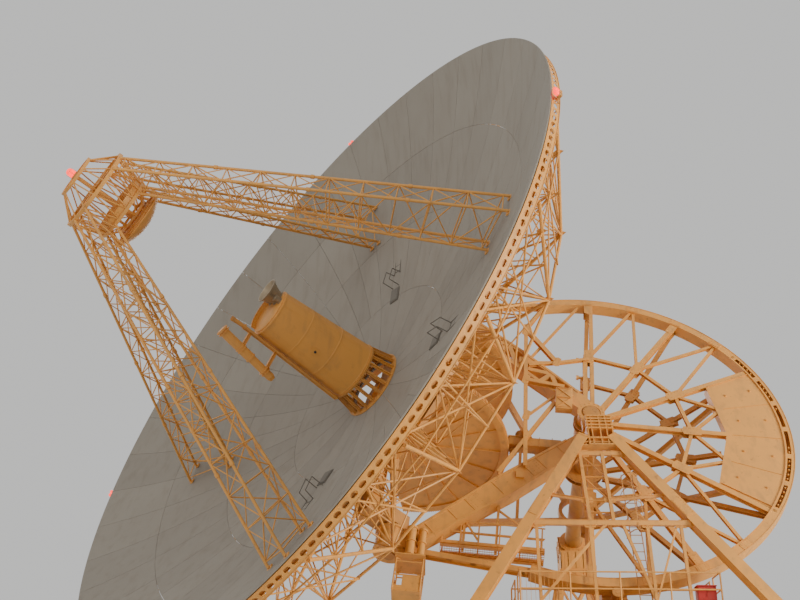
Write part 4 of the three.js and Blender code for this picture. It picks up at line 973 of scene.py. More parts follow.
def buildWheelRim(bm):
    outer = wheel["radius"]
    inner = outer - wheel["depth"]
    low, high = wheel["level"] - wheel["width"] / 2, wheel["level"] + wheel["width"] / 2
    thick, recess = wheelRim["thick"], wheelRim["recess"]
    within, beyond, face = inner + thick, outer - thick, high - recess
    first, last = wheel["fromAngle"], wheel["toAngle"]
    slotFrom, slotTo, slotStep = wheelRim["slots"]
    slotLow, slotHigh = wheelRim["slotRadii"]
    addArc(bm, beyond, outer, low, high, first, last)
    addArc(bm, inner, within, low, high, first, last)
    addArc(bm, within, beyond, low + recess, low + recess + thick, first, last)
    fronts = [(within, beyond, first, slotFrom), (within, beyond, slotTo, last)]
    fronts += [(within, slotLow, slotFrom, slotTo), (slotHigh, beyond, slotFrom, slotTo)]
    bars = range(slotFrom, slotTo + 1, slotStep)
    fronts += [(slotLow, slotHigh, angle - 0.9, angle + 0.9) for angle in bars]
    for start, end, fromAngle, toAngle in fronts:
        addArc(bm, start, end, face - thick, face, fromAngle, toAngle)
    for k in range(int((slotTo - slotFrom - 4) / wheelRim["studStep"]) + 1):
        angle = slotFrom + 2 + wheelRim["studStep"] * k
        if 1.5 < (angle - slotFrom) % slotStep < slotStep - 1.5 and not 178 < angle < 192:
            spot = polar(wheelRim["studRadius"], angle, face)
            addTube(bm, spot - zUp * 0.1, spot + zUp * 0.008, 0.028)
    for end in (first + 0.02, last - 0.02):
        addArc(bm, within, beyond, low + thick, high - thick, end - 0.1, end + 0.1)
    unit = bmesh.new()
    near, far = inner + 0.05, outer - 0.045
    addPlate(unit, [(near, -0.24), (far, -0.24), (far, 0.24), (near, 0.24)], 0.016)
    addBolts(unit, moved(inner, 0, 0.008), (0.1, 0.17, 0.24), (-0.18, -0.09, 0.09, 0.18), 0.013, 0.012)
    copies(bm, unit, [moved(0, 0, face + 0.008) @ turned(angle) for angle in wheelRim["splices"]])


piece("wheelRim", buildWheelRim, "polar_frame", "structure_paint", ["wheel_rim"], recalc=True)

# spokes: (radius, level) of their ends in front and behind, their sizes, and the ring that joins them
spokes = {
    "angles": [90, 120, 150, 180, 210, 240, 270],
    "front": ((0.7, 0.14), (6.9, 0.07)),
    "rear": ((0.7, -2.35), (6.9, -0.18)),
    "size": {"front": 0.19, "rear": 0.16},
    "from": {"front": 0.62, "rear": 0.81},
    "ringRadius": 3.7,
    "ringSize": 0.13,
    "column": (0.14, 0.66, 3.62),
    "meridianShift": 0.12,
}


def spokeSpot(angle, reach, face="front"):
    hub, end = spokes[face]
    return polar(reach, angle, hub[1] + (end[1] - hub[1]) * (reach - hub[0]) / (end[0] - hub[0]))


def buildSpokes(bm, face):
    size, ringR, ringSize = spokes["size"][face], spokes["ringRadius"], spokes["ringSize"]
    last = wheel["radius"] - wheel["depth"] - 0.001
    for k, angle in enumerate(spokes["angles"]):
        out, knot = polar(1, angle), spokeSpot(angle, ringR, face)
        start = spokeSpot(angle, spokes["from"][face], face)
        stop = spokeSpot(angle, 4.93 if 151 < angle < 209 else last, face)
        normal = (stop - start).cross(zUp.cross(out)).normalized()
        normal *= math.copysign(1, normal.z)
        if angle == 270 and face == "front":
            aside = xAxis * -spokes["meridianShift"]
            addBeam(bm, start + aside, stop + aside, 0.15, size, 0.018)
        else:
            addBeam(bm, start, stop, size, size, 0.018)
        for side in sides:
            addGusset(bm, knot + normal * side * (size / 2 + 0.009), normal * side, out, 0.62)
        if not 140 < angle < 215:
            addGusset(bm, spokeSpot(angle, last - 0.22, face) + normal * (size / 2 + 0.009), normal, out, 0.5)
        if k == 0:
            continue
        before = spokes["angles"][k - 1]
        addBeam(bm, spokeSpot(before, ringR, face), knot, ringSize, ringSize, 0.014)
        if face == "front":
            middle = (angle + before) / 2
            reach = 4.95 if 151 < middle < 209 else last
            addBeam(bm, spokeSpot(before, ringR), spokeSpot(middle - 0.5, reach), 0.11)
            addBeam(bm, knot, spokeSpot(middle + 0.5, reach), 0.11)


def buildColumn(bm):
    # short column beside the spoke on the meridian side, from the hub to the ring
    shift, low, high = spokes["column"]
    start, stop = spokeSpot(270, low) + xAxis * shift, spokeSpot(270, high) + xAxis * shift
    addBeam(bm, start, stop, 0.17, 0.19, 0.016)
    for part in (0.34, 0.62, 0.97):
        spot = start.lerp(stop, part)
        addBar(bm, spot - xAxis * 0.1, spot + xAxis * 0.34, 0.07, 0.09)
        addBox(bm, spot + Vector((0.25, -0.07, -0.06)), spot + Vector((0.35, 0.07, 0.06)))


weight = {"fromAngle": 151, "toAngle": 209.5, "inner": 4.98}


def buildWeightTrim(bm):
    # edge strips, seams and lifting eyes on the counterweight's face
    first, last, inner = weight["fromAngle"], weight["toAngle"], weight["inner"]
    top = wheel["level"] + 0.19
    rimIn = wheel["radius"] - wheel["depth"]
    spots = ((inner + 0.09, first + 1), (inner, 180), (inner + 0.09, last - 1))
    addChain(bm, addBar, [polar(*spot, top + 0.006) for spot in spots], 0.09, 0.012)
    for angle in (first + 0.6, last - 0.6):
        start, end = polar(inner + 0.12, angle, top + 0.006), polar(rimIn - 0.02, angle, top + 0.006)
        addBar(bm, start, end, 0.012, 0.09)
    for angle in (165, 180, 195):
        start, end = polar(inner + 0.15, angle, top + 0.002), polar(rimIn - 0.05, angle, top + 0.002)
        addBar(bm, start, end, 0.004, 0.03)
    for angle, reach in product((158, 172, 188, 202), (5.5, 6.5)):
        spot = polar(reach, angle, top)
        addTube(bm, spot, spot + zUp * 0.03, 0.05, 12)
        addBolt(bm, spot + zUp * 0.03, 0.028, 0.022)


piece("frontSpokes", lambda bm: buildSpokes(bm, "front"), "polar_frame", "structure_paint", ["front_spokes"])
piece("rearSpokes", lambda bm: buildSpokes(bm, "rear"), "polar_frame", "shade_paint", ["rear_spokes"])
piece("twinSpoke", buildColumn, "polar_frame", "structure_paint")
piece("weightTrim", buildWeightTrim, "polar_frame", "structure_paint")
print("wheel made")

# yoke: bearing housings, tip chords, ties and the hung walkway (y grows toward the lower bearing)
yoke = {
    "armStart": (-0.1, 0.62),
    "armEnd": (5.95, 6.18),
    "armHalf": 0.27,
    "armWidths": [(0.12, 0.35), (0.5, 0.43), (0.8, 0.34), (0.955, 0.3)],
    "knots": ((0.165, 0.3), (0.29, 0.33), (0.43, 0.36), (0.57, 0.36), (0.7, 0.34)),
    "bearingRadius": 0.56,
    "bearingHalf": 0.43,
    "bore": 0.206,
    "ribs": 7,
    "front": 0.36,
}
mirrorY = Matrix.Diagonal((1, -1, 1, 1))


def armSpot(part, side, level=0.0):
    spot = Vector(yoke["armStart"]).lerp(Vector(yoke["armEnd"]), part)
    return Vector((spot.x, side * spot.y, level))


def buildArmTrim(bm, lattice):
    # flange lips, and on the closed arm web stiffeners and splices
    along = (armSpot(1, 1) - armSpot(0, 1)).normalized()
    across = zUp.cross(along)
    top, widths = yoke["armHalf"] + 0.008, yoke["armWidths"]
    for side, face in product(sides, sides):
        level = face * (yoke["armHalf"] + 0.012)
        lip = [armSpot(t, 1, level) + across * side * (half - 0.03) for t, half in widths]
        addChain(bm, addBar, lip, 0.024, 0.09, across)
    if lattice:
        for t, reach in yoke["knots"]:
            place = columns(along, across, zUp, armSpot(t, 1, top))
            addBolts(bm, place, (-0.08, 0, 0.08), (-reach * 0.92, reach * 0.92), 0.018, 0.014)
        return
    for k in range(yoke["ribs"]):
        t = 0.18 + 0.72 * k / (yoke["ribs"] - 1)
        reach = across * (0.3 + 0.1 * math.sin(math.pi * t))
        addBar(bm, armSpot(t, 1, top) - reach, armSpot(t, 1, top) + reach, 0.02, 0.016)
    for t in (0.34, 0.66):
        place = columns(along, across, zUp, armSpot(t, 1, top))
        addPlate(bm, rectangle(0.26, 0.3), 0.018, place)
        ys = (-0.24, -0.12, 0, 0.12, 0.24)
        addBolts(bm, place @ moved(0, 0, 0.009), (-0.2, -0.1, 0.1, 0.2), ys, 0.014, 0.012)


def buildBearing(bm):
    half, radius, bore = yoke["bearingHalf"], yoke["bearingRadius"], yoke["bore"]
    drum = bmesh.new()
    side = [(-0.14, 0), (-0.12, 0.03), (0, 0.03), (0, 0.1), (-0.05, 0.12)]
    profile = [(bore, -half)] + [(radius + r, z - half) for r, z in side]
    addTurned(drum, profile + [(r, -z) for r, z in reversed(profile)], 48)
    for k in range(12):
        spot = polar(radius - 0.06, 30 * k)
        addBolt(drum, spot + zUp * (half - 0.03), 0.022, 0.022)
        addBolt(drum, Matrix.Translation(spot - zUp * (half - 0.03)) @ turned(180, "X"), 0.022, 0.022)
        if k % 2 == 0:
            rib = polar(radius - 0.03, 30 * k + 15)
            addBar(drum, rib - zUp * 0.32, rib + zUp * 0.32, 0.02, 0.06, spot)
    copies(bm, drum, [facingY((mount["axisOffset"], mount["bearingHalf"], 0))])
    low = mount["bearingHalf"] - 0.38
    addRibs(bm, 2, (-0.31, 0.31), 0.02, (5.73, low), (6.32, low + 0.76))
    addRibs(bm, 0, (5.74, 5.92, 6.1), 0.012, (low, -0.29), (low + 0.76, 0.29))
    addRibs(bm, 1, (low + 0.04, low + 0.72), 0.02, (5.73, -0.29), (6.2, 0.29))


def bothArms(bm, build, *lattice):
    for side, given in zip((Matrix.Identity(4), mirrorY), lattice or (None, None)):
        unit = bmesh.new()
        build(unit, *([] if given is None else [given]))
        copies(bm, unit, [side])


rams = {"places": ((5.86, 0.15, 5.84), (5.5, 0.12, 5.92)), "end": 7.0}


def buildRams(bm):
    # upright cylinders and their base plate on the camera side of the lower bearing
    front = yoke["front"] + 0.1
    for x, radius, top in rams["places"]:
        start, end = Vector((x, top, front)), Vector((x, rams["end"], front))
        addTube(bm, start, end, radius, 24)
        for part in (0.04, 0.5, 0.96):
            spot = start.lerp(end, part)
            addTube(bm, spot - yAxis * 0.03, spot + yAxis * 0.03, radius + 0.035, 24)
        addTube(bm, start, start - yAxis * 0.1, radius * 0.45, 16)
        addBox(bm, (x - 0.05, 6.1, 0.3), (x + 0.05, 6.3, front))
    addBox(bm, (5.32, 7.0, -0.4), (6.3, 7.05, 0.62))
    addBox(bm, (5.36, 6.53, -0.36), (5.44, 7.0, -0.28))
    for x, z in product((5.4, 5.72, 6.04, 6.24), (-0.34, 0.56)):
        addBolt(bm, facingFront((x, 7.0, z)), 0.02, 0.02)
    addRibs(bm, 2, (0.24, -0.26), 0.04, (5.78, 6.5), (6.24, 7.02))


def buildTies(bm):
    # chords from the rim's ends to the bearings, and the bars between the arms
    level, front = wheel["level"], yoke["front"]
    behind = front - 0.1
    for side in (1, -1):
        rimEnd, tip = polar(wheel["radius"] - 0.17, side * 75, level), Vector((5.76, side * 6.45, level))
        addBeam(bm, rimEnd, tip, 0.2, 0.28, 0.02)
        for k in range(5):
            spot = rimEnd.lerp(tip, (k + 0.5) / 5)
            addBar(bm, spot - zUp * 0.13, spot + zUp * 0.13, 0.02, 0.19, tip - rimEnd)
        addGusset(bm, rimEnd.lerp(tip, 0.08) + zUp * 0.15, zUp, tip - rimEnd, 0.3)
    post, knot, bend = Vector((2.5, -4.7, front)), Vector((1.24, -3.08, behind)), Vector((2.5, -5.0, behind))
    upperTie, lowerTie = Vector((2.32, 0.1, front)), Vector((2.41, -1.85, front))
    for start, end, width, depth, thick in (
        (post, (2.28, 2.6, front), 0.15, 0.15, 0.014),
        ((3.2, 2.98, front), (1.3, -0.75, front), 0.14, 0.14, 0.014),
        (upperTie, (1.1, -1.35, front), 0.08, 0.08, 0.01),
        (lowerTie, (0.95, -1.6, front), 0.16, 0.2, 0.014),
        (spokeSpot(270, 3.5) + zUp * 0.1, knot, 0.13, 0.13, 0.014),
        (knot, (2.48, -2.95, behind), 0.12, 0.12, 0.014),
        ((0.42, -6.85, 0.06), (2.45, -2.95, front - 0.12), 0.09, 0.09, 0.01),
        (knot, bend, 0.17, 0.17, 0.016),
        (bend, polar(7.0, -74.6, level), 0.15, 0.15, 0.014),
        (knot, armSpot(0.4, -1, behind), 0.11, 0.11, 0.012),
    ):
        addBeam(bm, Vector(start), Vector(end), width, depth, thick)
    for spot in (post, knot, bend, upperTie, lowerTie):
        addGusset(bm, spot + zUp * 0.08, zUp, (0.2, 1, 0), 0.42)
    for spot in (armSpot(0.42, 1), armSpot(0.44, -1)):
        addBox(bm, (spot.x - 0.14, spot.y - 0.14, 0.27), (spot.x + 0.14, spot.y + 0.14, front))


armBox = {"low": (0.66, -1.42, 0.27), "high": (1.28, -0.3, 0.55)}


def buildArmBox(bm):
    # drive cabinet on the upper arm: a shell with pressed X panels
    low, high = Vector(armBox["low"]), Vector(armBox["high"])
    addBox(bm, low, high, 0.02)
    top, middle = high.z + 0.006, (low.y + high.y) / 2
    for y0, y1 in ((low.y + 0.06, middle - 0.02), (middle + 0.02, high.y - 0.06)):
        for ya, yb in ((y0, y1), (y1, y0)):
            addBar(bm, (low.x + 0.06, ya, top), (high.x - 0.06, yb, top), 0.012, 0.05)
            addBar(bm, (low.x + 0.05, ya, top), (high.x - 0.05, ya, top), 0.012, 0.04)
    for y in (low.y + 0.3, high.y - 0.3):
        addTube(bm, (low.x - 0.02, y, 0.4), (low.x - 0.05, y, 0.4), 0.03, 10)


walkway = {
    "x": (1.5, 4.95),
    "floor": 5.93,
    "rails": (4.98, 5.42),
    "depth": (-0.62, -0.02),
    "posts": (1.6, 2.3, 3.0, 3.7, 4.3, 4.9),
    "hangers": (3.1, 4.2),
    "gratings": 44,
}


def buildWalkway(bm):
    # open grating floor hung from the lower arm, with handrails on both sides
    (x0, x1), (far, near), floor = walkway["x"], walkway["depth"], walkway["floor"]
    for z in (near, far):
        addBeam(bm, (x0, floor + 0.06, z), (x1, floor + 0.06, z), 0.12, 0.07, 0.01, yAxis)
        for level in walkway["rails"]:
            addTube(bm, (x0, level, z), (x1, level, z), 0.024)
        for x in walkway["posts"]:
            addBar(bm, (x, walkway["rails"][0], z), (x, floor + 0.1, z), 0.05)
        addBar(bm, (x0, floor - 0.07, z), (x1, floor - 0.07, z), 0.012, 0.12, yAxis)
    for k in range(walkway["gratings"] + 1):
        x = x0 + (x1 - x0) * k / walkway["gratings"]
        addBar(bm, (x, floor, near), (x, floor, far), 0.008, 0.035, yAxis)
    for k in range(1, 6):
        z = far + (near - far) * k / 6
        addBar(bm, (x0, floor, z), (x1, floor, z), 0.008, 0.02, yAxis)
    for x, z in product(walkway["hangers"], (near - 0.06, -0.26)):
        addBar(bm, (x, armSpot((x + 0.1) / 6.05, 1).y + 0.25, z), (x, floor + 0.1, z), 0.09)
    addBar(bm, (4.15, 5.0, near), (3.72, 5.7, near), 0.06)
    addBar(bm, (2.3, 5.0, near), (3.1, 4.3, near - 0.06), 0.06)


basket = {"x": (5.38, 6.25), "y": (7.2, 8.3), "z": (-0.43, 0.43), "tube": 0.028, "hooks": (5.72, 6.12)}


def buildBasket(bm):
    (x0, x1), (y0, y1), (z0, z1) = basket["x"], basket["y"], basket["z"]
    tube = basket["tube"]
    rails = (y0, y0 + 0.52, y1 - 0.04)
    for x, hook in zip((x0, x1), basket["hooks"]):
        for z in (z0, z1):
            addTube(bm, (x, y0 - 0.16, z), (x, y1, z), tube)
            addTube(bm, (x, y0 - 0.12, z), (hook, 7.04, z * 0.7), tube)
        for y in rails:
            addTube(bm, (x, y, z0), (x, y, z1), tube * 0.85)
    for y, z in product(rails, (z0, z1)):
        addTube(bm, (x0, y, z), (x1, y, z), tube * 0.85)
    addBox(bm, (x0, y1 - 0.03, z0), (x1, y1 + 0.02, z1))
    addRibs(bm, 2, (z0, z1), 0.006, (x0, y1 - 0.18), (x1, y1 - 0.03))
    addRibs(bm, 2, (z1,), 0.004, (x0 + 0.02, y0 + 0.54), (x1 - 0.28, y1 - 0.06))
    addRibs(bm, 0, (x0,), 0.004, (y0 + 0.54, z0 + 0.02), (y1 - 0.06, z1 - 0.02))
    for k in range(7):
        z = z0 + (z1 - z0) * (k + 0.5) / 7
        addBar(bm, (x1, y0 + 0.52, z), (x1, y1, z), 0.012)


decDrive = {
    "motor": (2.5, 0.62, 0),
    "fins": 20,
    "pinion": (2.725, 1.31, 0),
    "pinionRadius": 0.13,
    "teeth": 18,
}


def addSpread(bm, count, reach, low, high, width, depth):
    # upright fins or teeth round a drum
    for k in range(count):
        angle = 360 / count * k
        addBar(bm, polar(reach, angle, low), polar(reach, angle, high), width, depth, polar(1, angle))


def buildDecDrive(bm):
    addBox(bm, (1.02, 1.02, -0.22), (2.9, 1.42, 0.22), 0.03)
    addRibs(bm, 0, (1.35, 1.8, 2.25, 2.7), 0.012, (0.99, -0.24), (1.45, 0.24))
    addBox(bm, (2.1, 1.0, -0.25), (2.94, 1.04, 0.25))
    for x, z in product((2.16, 2.36, 2.62, 2.88), (-0.2, 0.2)):
        addBolt(bm, facingFront((x, 1.0, z)), 0.02, 0.02)
    shell = bmesh.new()
    motor = [(0, 0), (0.15, 0), (0.165, 0.03), (0.165, 0.33), (0.19, 0.34), (0.19, 0.38), (0, 0.38)]
    addTurned(shell, motor, 28)
    addSpread(shell, decDrive["fins"], 0.172, 0.05, 0.31, 0.008, 0.03)
    addBox(shell, (-0.07, 0.15, 0.12), (0.07, 0.25, 0.26))
    copies(bm, shell, [facingY(decDrive["motor"])])
    pinion = bmesh.new()
    radius = decDrive["pinionRadius"] - 0.02
    addTurned(pinion, [(0, 0), (0.06, 0), (0.06, 0.2), (radius, 0.2), (radius, 0.38), (0, 0.38)], 32)
    addSpread(pinion, decDrive["teeth"], radius + 0.01, 0.2, 0.38, 0.022, 0.03)
    copies(bm, pinion, [facingY(decDrive["pinion"])])


shaft = {"radius": 0.339, "low": -7.7, "high": 0.74, "hubs": [(0.15, 0.6), (-2.35, 0.76)]}


def buildShaft(bm):
    radius, low, cap = shaft["radius"], shaft["low"], shaft["high"]
    addTurned(bm, [
        (0, low), (radius - 0.03, low), (radius, low + 0.03), (radius, -6.5), (radius + 0.02, -6.45),
        (radius + 0.02, -0.7), (0.5, -0.6), (0.54, -0.45), (0.54, 0.05), (0.5, 0.1), (radius, 0.14),
        (radius, cap - 0.03), (radius - 0.03, cap), (0, cap),
    ], 56)
    for level, reach in shaft["hubs"]:
        addHoop(bm, 0.35, reach, level - 0.11, level - 0.07, 56)
        addHoop(bm, 0.35, reach, level + 0.07, level + 0.11, 56)
        addBoltCircle(bm, 24, reach - 0.06, level + 0.11, 0.02, 0.02)
        for angle in range(0, 360, 30):
            addBar(bm, polar(0.36, angle, level), polar(reach - 0.03, angle, level), 0.016, 0.15)
    addTurned(bm, [(0, cap), (0.3, cap), (0.3, cap + 0.03), (0.22, cap + 0.04), (0, cap + 0.04)], 48)
    addBoltCircle(bm, 12, 0.26, cap + 0.03, 0.018, 0.016)


for name, build, nodes in (
    ("armTrim", lambda bm: bothArms(bm, buildArmTrim, False, True), []),
    ("decBearings", lambda bm: bothArms(bm, buildBearing), ["dec_bearing_lower", "dec_bearing_upper"]),
    ("bearingRams", buildRams, []),
    ("yokeTies", buildTies, ["wheel_rim"]),
    ("armBox", buildArmBox, []),
    ("serviceWalkway", buildWalkway, []),
    ("accessBasket", buildBasket, ["access_basket"]),
):
    piece(name, build, "polar_frame", "structure_paint", nodes)
piece("decDrive", buildDecDrive, "polar_frame", "shade_paint", ["dec_drive"])
piece("polarShaft", buildShaft, "polar_frame", "shade_paint", ["polar_shaft"], polarPlace)
print("yoke and drives made")

# front bearing head: a stack of thin plates under a round housing
head = {
    "drum": (0.5, 0.3, 0.74),
    "stack": (-0.34, 0.6),
    "back": 0.66,
    "front": 1.15,
    "thick": 0.034,
    "ledges": (-0.6, -0.74, -0.88, -1.05, -1.2, -1.68, -1.99),
    "posts": (-0.3, -0.16, 0.13, 0.36, 0.56),
    "shelf": (-0.6, 0.86, -1.83, 0.86),
}


def addDrum(bm, bore, radius, low, high, neck, steps=56):
    # bored drum with a flange at each end
    ends = [(radius, 0), (radius, 0.05), (radius - neck, 0.07)]
    profile = [(bore, low)] + [(r, low + z) for r, z in ends] + [(r, high - z) for r, z in reversed(ends)]
    addTurned(bm, profile + [(bore, high)], steps)


def buildHead(bm):
    (drumR, drumLow, drumHigh), (left, right) = head["drum"], head["stack"]
    back, front, thick, ledges = head["back"], head["front"], head["thick"], head["ledges"]
    addDrum(bm, 0.346, drumR, drumLow, drumHigh, 0.04)
    addBoltCircle(bm, 16, drumR - 0.05, drumHigh, 0.02, 0.02)
    addBox(bm, (-0.41, -0.9, 0.63), (0.41, -0.4, 0.86))
    boltsAt = [left + 0.07 + (right - left - 0.14) * k / 7 for k in range(8)]
    addRibs(bm, 1, ledges[:-1], thick / 2, (left, back), (right, front))
    addRibs(bm, 1, ledges[-1:], thick / 2, (left, front - 0.16), (right, front))
    addRibs(bm, 1, ledges, thick, (left, front), (right, front + 0.026))
    addBolts(bm, moved(0, 0, front + 0.026), boltsAt, ledges, 0.013, 0.012)
    # closed cells above and below, one row of openings between
    cellEnd = (ledges[5] + ledges[6]) / 2
    addBox(bm, (left + 0.03, ledges[4], back + 0.02), (right - 0.03, ledges[0], front - 0.08))
    addBox(bm, (left + 0.03, cellEnd, back + 0.02), (right - 0.03, ledges[5], front - 0.1))
    addRibs(bm, 0, head["posts"], 0.02, (ledges[-1], back), (ledges[0], front))
    addRibs(bm, 0, (left + 0.012, right - 0.012), 0.012, (ledges[-1], back), (ledges[0], front - 0.03))
    # shelf that takes the two legs' upper ends
    shelfLeft, shelfRight, shelfTop, shelfBack = head["shelf"]
    addBox(bm, (shelfLeft, ledges[-1] - 0.04, shelfBack), (shelfRight, ledges[-1], 1.14))
    addBox(bm, (shelfLeft, shelfTop - 0.03, shelfBack), (shelfRight, shelfTop, 1.14))
    webs = (shelfLeft + 0.02, -0.44, 0.7, shelfRight - 0.02)
    addRibs(bm, 0, webs, 0.015, (ledges[-1] - 0.02, shelfBack), (shelfTop - 0.01, 1.12))


piece("frontHead", buildHead, "pedestal", "structure_paint", ["front_head"], polarPlace)

# pedestal: legs, bracing and deck, in world axes
stand = {
    "legTop": (0.206, -1.148, 14.2),
    "legFoot": (9.23, -8.302, 0.0),
    "legSize": (0.38, 0.33),
    "footLevel": 0.34,
    "tie": 10.28,
    "topTie": 13.05,
    "strut": 11.15,
    "deck": 7.5,
    "deckUnder": 7.13,
    "deckX": 3.2,
    "deckY": (-3.85, -0.8),
    "hangers": (-2.45, -0.72, 1.12, 2.2),
    "hangerY": -3.66,
}
deck = stand["deck"]


def legSpot(side, level):
    top, foot = Vector(stand["legTop"]), Vector(stand["legFoot"])
    spot = top.lerp(foot, (top.z - level) / (top.z - foot.z))
    return Vector((side * spot.x, spot.y, spot.z))


def frontSpot(x, level):
    return Vector((x, legSpot(1, level).y, level))


def buildLegs(bm):
    width, depth = stand["legSize"]
    for side in sides:
        start, end = legSpot(side, 13.72), legSpot(side, stand["footLevel"] + 0.12)
        down = (end - start).normalized()
        addBoxBeam(bm, start, end, width, depth, 0.035, 0.03, pole)
        for part, normal in product((0.22, 0.5, 0.78), (-pole, pole)):
            spot = start.lerp(end, part) + normal * (depth / 2 + 0.008)
            plate = columns(down.cross(normal), down, normal, spot)
            addPlate(bm, rectangle(0.17, 0.4), 0.016, plate)
            rows = [-0.33 + 0.11 * k for k in range(7)]
            addBolts(bm, plate @ moved(0, 0, 0.008), (-0.12, 0.12), rows, 0.016, 0.014)
        foot = legSpot(side, stand["footLevel"])
        addBox(bm, (foot.x - 0.42, foot.y - 0.36, 0.34), (foot.x + 0.42, foot.y + 0.5, 0.38))
        addBolts(bm, moved(foot.x, foot.y, 0.38), (-0.34, 0, 0.34), (-0.28, 0.42), 0.035, 0.05)
        for sign in sides:
            spot = (foot.x - side * 0.2 + sign * 0.104, foot.y + 0.12, 0.38)
            web = columns(xAxis * sign, zUp, yAxis * -sign, spot)
            addPlate(bm, [(0, 0), (0.3, 0), (0.06, 0.42), (0, 0.42)], 0.02, web)
        addFlange(bm, legSpot(side, 13.73), start - end, pole, 0.36)


def buildBracing(bm):
    tie, topTie, strut, hangerY = stand["tie"], stand["topTie"], stand["strut"], stand["hangerY"]
    gussets = []
    for level, size in ((tie, 0.17), (topTie, 0.15)):
        edge = legSpot(1, level).x - 0.16
        addBoxBeam(bm, frontSpot(-edge, level), frontSpot(edge, level), size, size, 0.015, 0.014)
        gussets += [(side * (edge - 0.12), level, 0.5) for side in sides]
    for side, x in ((-1, -0.7), (1, 0.06)):
        start = legSpot(side, strut + 0.2) - xAxis * side * 0.18
        addBeam(bm, start, frontSpot(x, strut), 0.11)
        addBeam(bm, frontSpot(x, topTie), frontSpot(x, tie), 0.11, up=pole)
        gussets += [(x, strut, 0.34), (x, tie, 0.34)]
    rungs = [(level, level, 0.07) for level in (12.1, 12.57, strut, 11.62, 10.7)]
    for left, right, size in rungs + [(12.1, strut, 0.06), (topTie, 12.1, 0.06)]:
        addAngle(bm, frontSpot(-0.7, left), frontSpot(0.06, right), size, 0.01, pole)
    for x in stand["hangers"]:
        addBeam(bm, frontSpot(x, tie), (x, hangerY, deck + 0.02), 0.1, up=yAxis)
        addFlange(bm, (x, hangerY, deck + 0.03), zUp, yAxis, 0.24)
        gussets += [(x, tie - 0.08, 0.32)]
    for x, foot, size in ((-0.16, -2.45, 0.09), (0.33, 1.12, 0.09), (-0.64, -0.72, 0.06), (2.1, 1.14, 0.06)):
        addBeam(bm, frontSpot(x, tie), (foot, hangerY + 0.06, deck + 0.23), size, size, 0.01, yAxis)
    for x, level, size in gussets:
        addGusset(bm, frontSpot(x, level), pole, xAxis, size)


def buildDeck(bm):
    # edge channels, joists and open grating in strips, with a steel walkway strip down the middle
    x1, (y0, y1), low = stand["deckX"], stand["deckY"], stand["deckUnder"]
    for level in (low, deck - 0.05):
        addRibs(bm, 0, (0.06 - x1, x1 - 0.06), 0.06, (y0, level), (y1, level + 0.03))
        addRibs(bm, 1, (y0 + 0.06, y1 - 0.06), 0.06, (-x1, level), (x1, level + 0.03))
    addRibs(bm, 0, (0.015 - x1, x1 - 0.015), 0.015, (y0, low), (y1, deck - 0.02))
    addRibs(bm, 1, (y0 + 0.015, y1 - 0.015), 0.015, (-x1, low), (x1, deck - 0.02))
    middle = (low + deck) / 2 - 0.02
    for y in (y0 + 0.24, -2.8, -1.9, y1 - 0.24):
        addBeam(bm, (0.03 - x1, y, middle), (x1 - 0.03, y, middle), 0.14, deck - low - 0.06, 0.016)
    for k in range(9):
        x = -2.8 + 0.7 * k
        addBeam(bm, (x, y0 + 0.03, deck - 0.1), (x, y1 - 0.03, deck - 0.1), 0.08, 0.1, 0.01)
    bars = [0.03 - x1 + k * (2 * x1 - 0.06) / 106 for k in range(107)]
    addRibs(bm, 0, bars, 0.004, (y0 + 0.02, deck - 0.045), (y1 - 0.02, deck))
    rods = [y0 + (y1 - y0) * k / 15 for k in range(1, 15)]
    addRibs(bm, 1, rods, 0.005, (0.02 - x1, deck - 0.035), (x1 - 0.02, deck - 0.002))
    addRibs(bm, 0, stand["hangers"], 0.2, (y0 + 0.01, deck - 0.012), (y0 + 0.4, deck - 0.001))
    addBox(bm, (-0.7, -2.72, deck - 0.014), (0.7, -1.6, deck - 0.001))


railings = {
    "front": {"y": stand["deckY"][0] + 0.06, "posts": (-3.1, -1.55, 0, 1.55, 3.1), "returnTo": None},
    "back": {"y": stand["deckY"][1] - 0.06, "posts": (-3.14, -1.57, 0, 1.57, 3.14), "returnTo": -2.3},
}
rails = (deck + 0.56, deck + 1.08)


def buildRailing(bm, name):
    # posts on foot plates, a top rail, a knee rail and a kick plate
    y, xs, back = (railings[name][key] for key in ("y", "posts", "returnTo"))
    feet, runs = [(x, y) for x in xs], [((xs[0], y), (xs[-1], y))]
    if back:
        feet += [(xs[0], back), (xs[-1], back)]
        runs += [((x, y), (x, back)) for x in (xs[0], xs[-1])]
    for x, py in feet:
        addTube(bm, (x, py, deck), (x, py, rails[1]), 0.028, 10)
        addBox(bm, (x - 0.07, py - 0.06, deck), (x + 0.07, py + 0.06, deck + 0.014))
        addBolts(bm, moved(x, py, deck + 0.014), (-0.045, 0.045), (0,), 0.012, 0.014)
    for a, b in runs:
        for level in rails:
            addTube(bm, (*a, level), (*b, level), 0.026, 10)
        for spot in (a, b):
            place = moved(*spot, rails[1])
            bmesh.ops.create_uvsphere(bm, u_segments=10, v_segments=6, radius=0.03, matrix=place)
        addBar(bm, (*a, deck + 0.07), (*b, deck + 0.07), 0.008, 0.12)
    if back:
        return
    for x in (xs[0], xs[-1]):
        for level in rails:
            addTube(bm, (x, y, level), (x, y + 0.9, level), 0.026, 10)
        addTube(bm, (x, y + 0.9, deck), (x, y + 0.9, rails[1]), 0.028, 10)
    # grid panels clipped to the rails at the left end
    for k in range(11):
        x = -3.05 + 0.14 * k
        addTube(bm, (x, y, deck + 0.13), (x, y, deck + 1.07), 0.006, 5)


cabinet = {"low": (2.4, -3.64, 7.56), "high": (2.98, -3.28, 8.2), "doors": ((2.42, 2.685), (2.695, 2.96))}


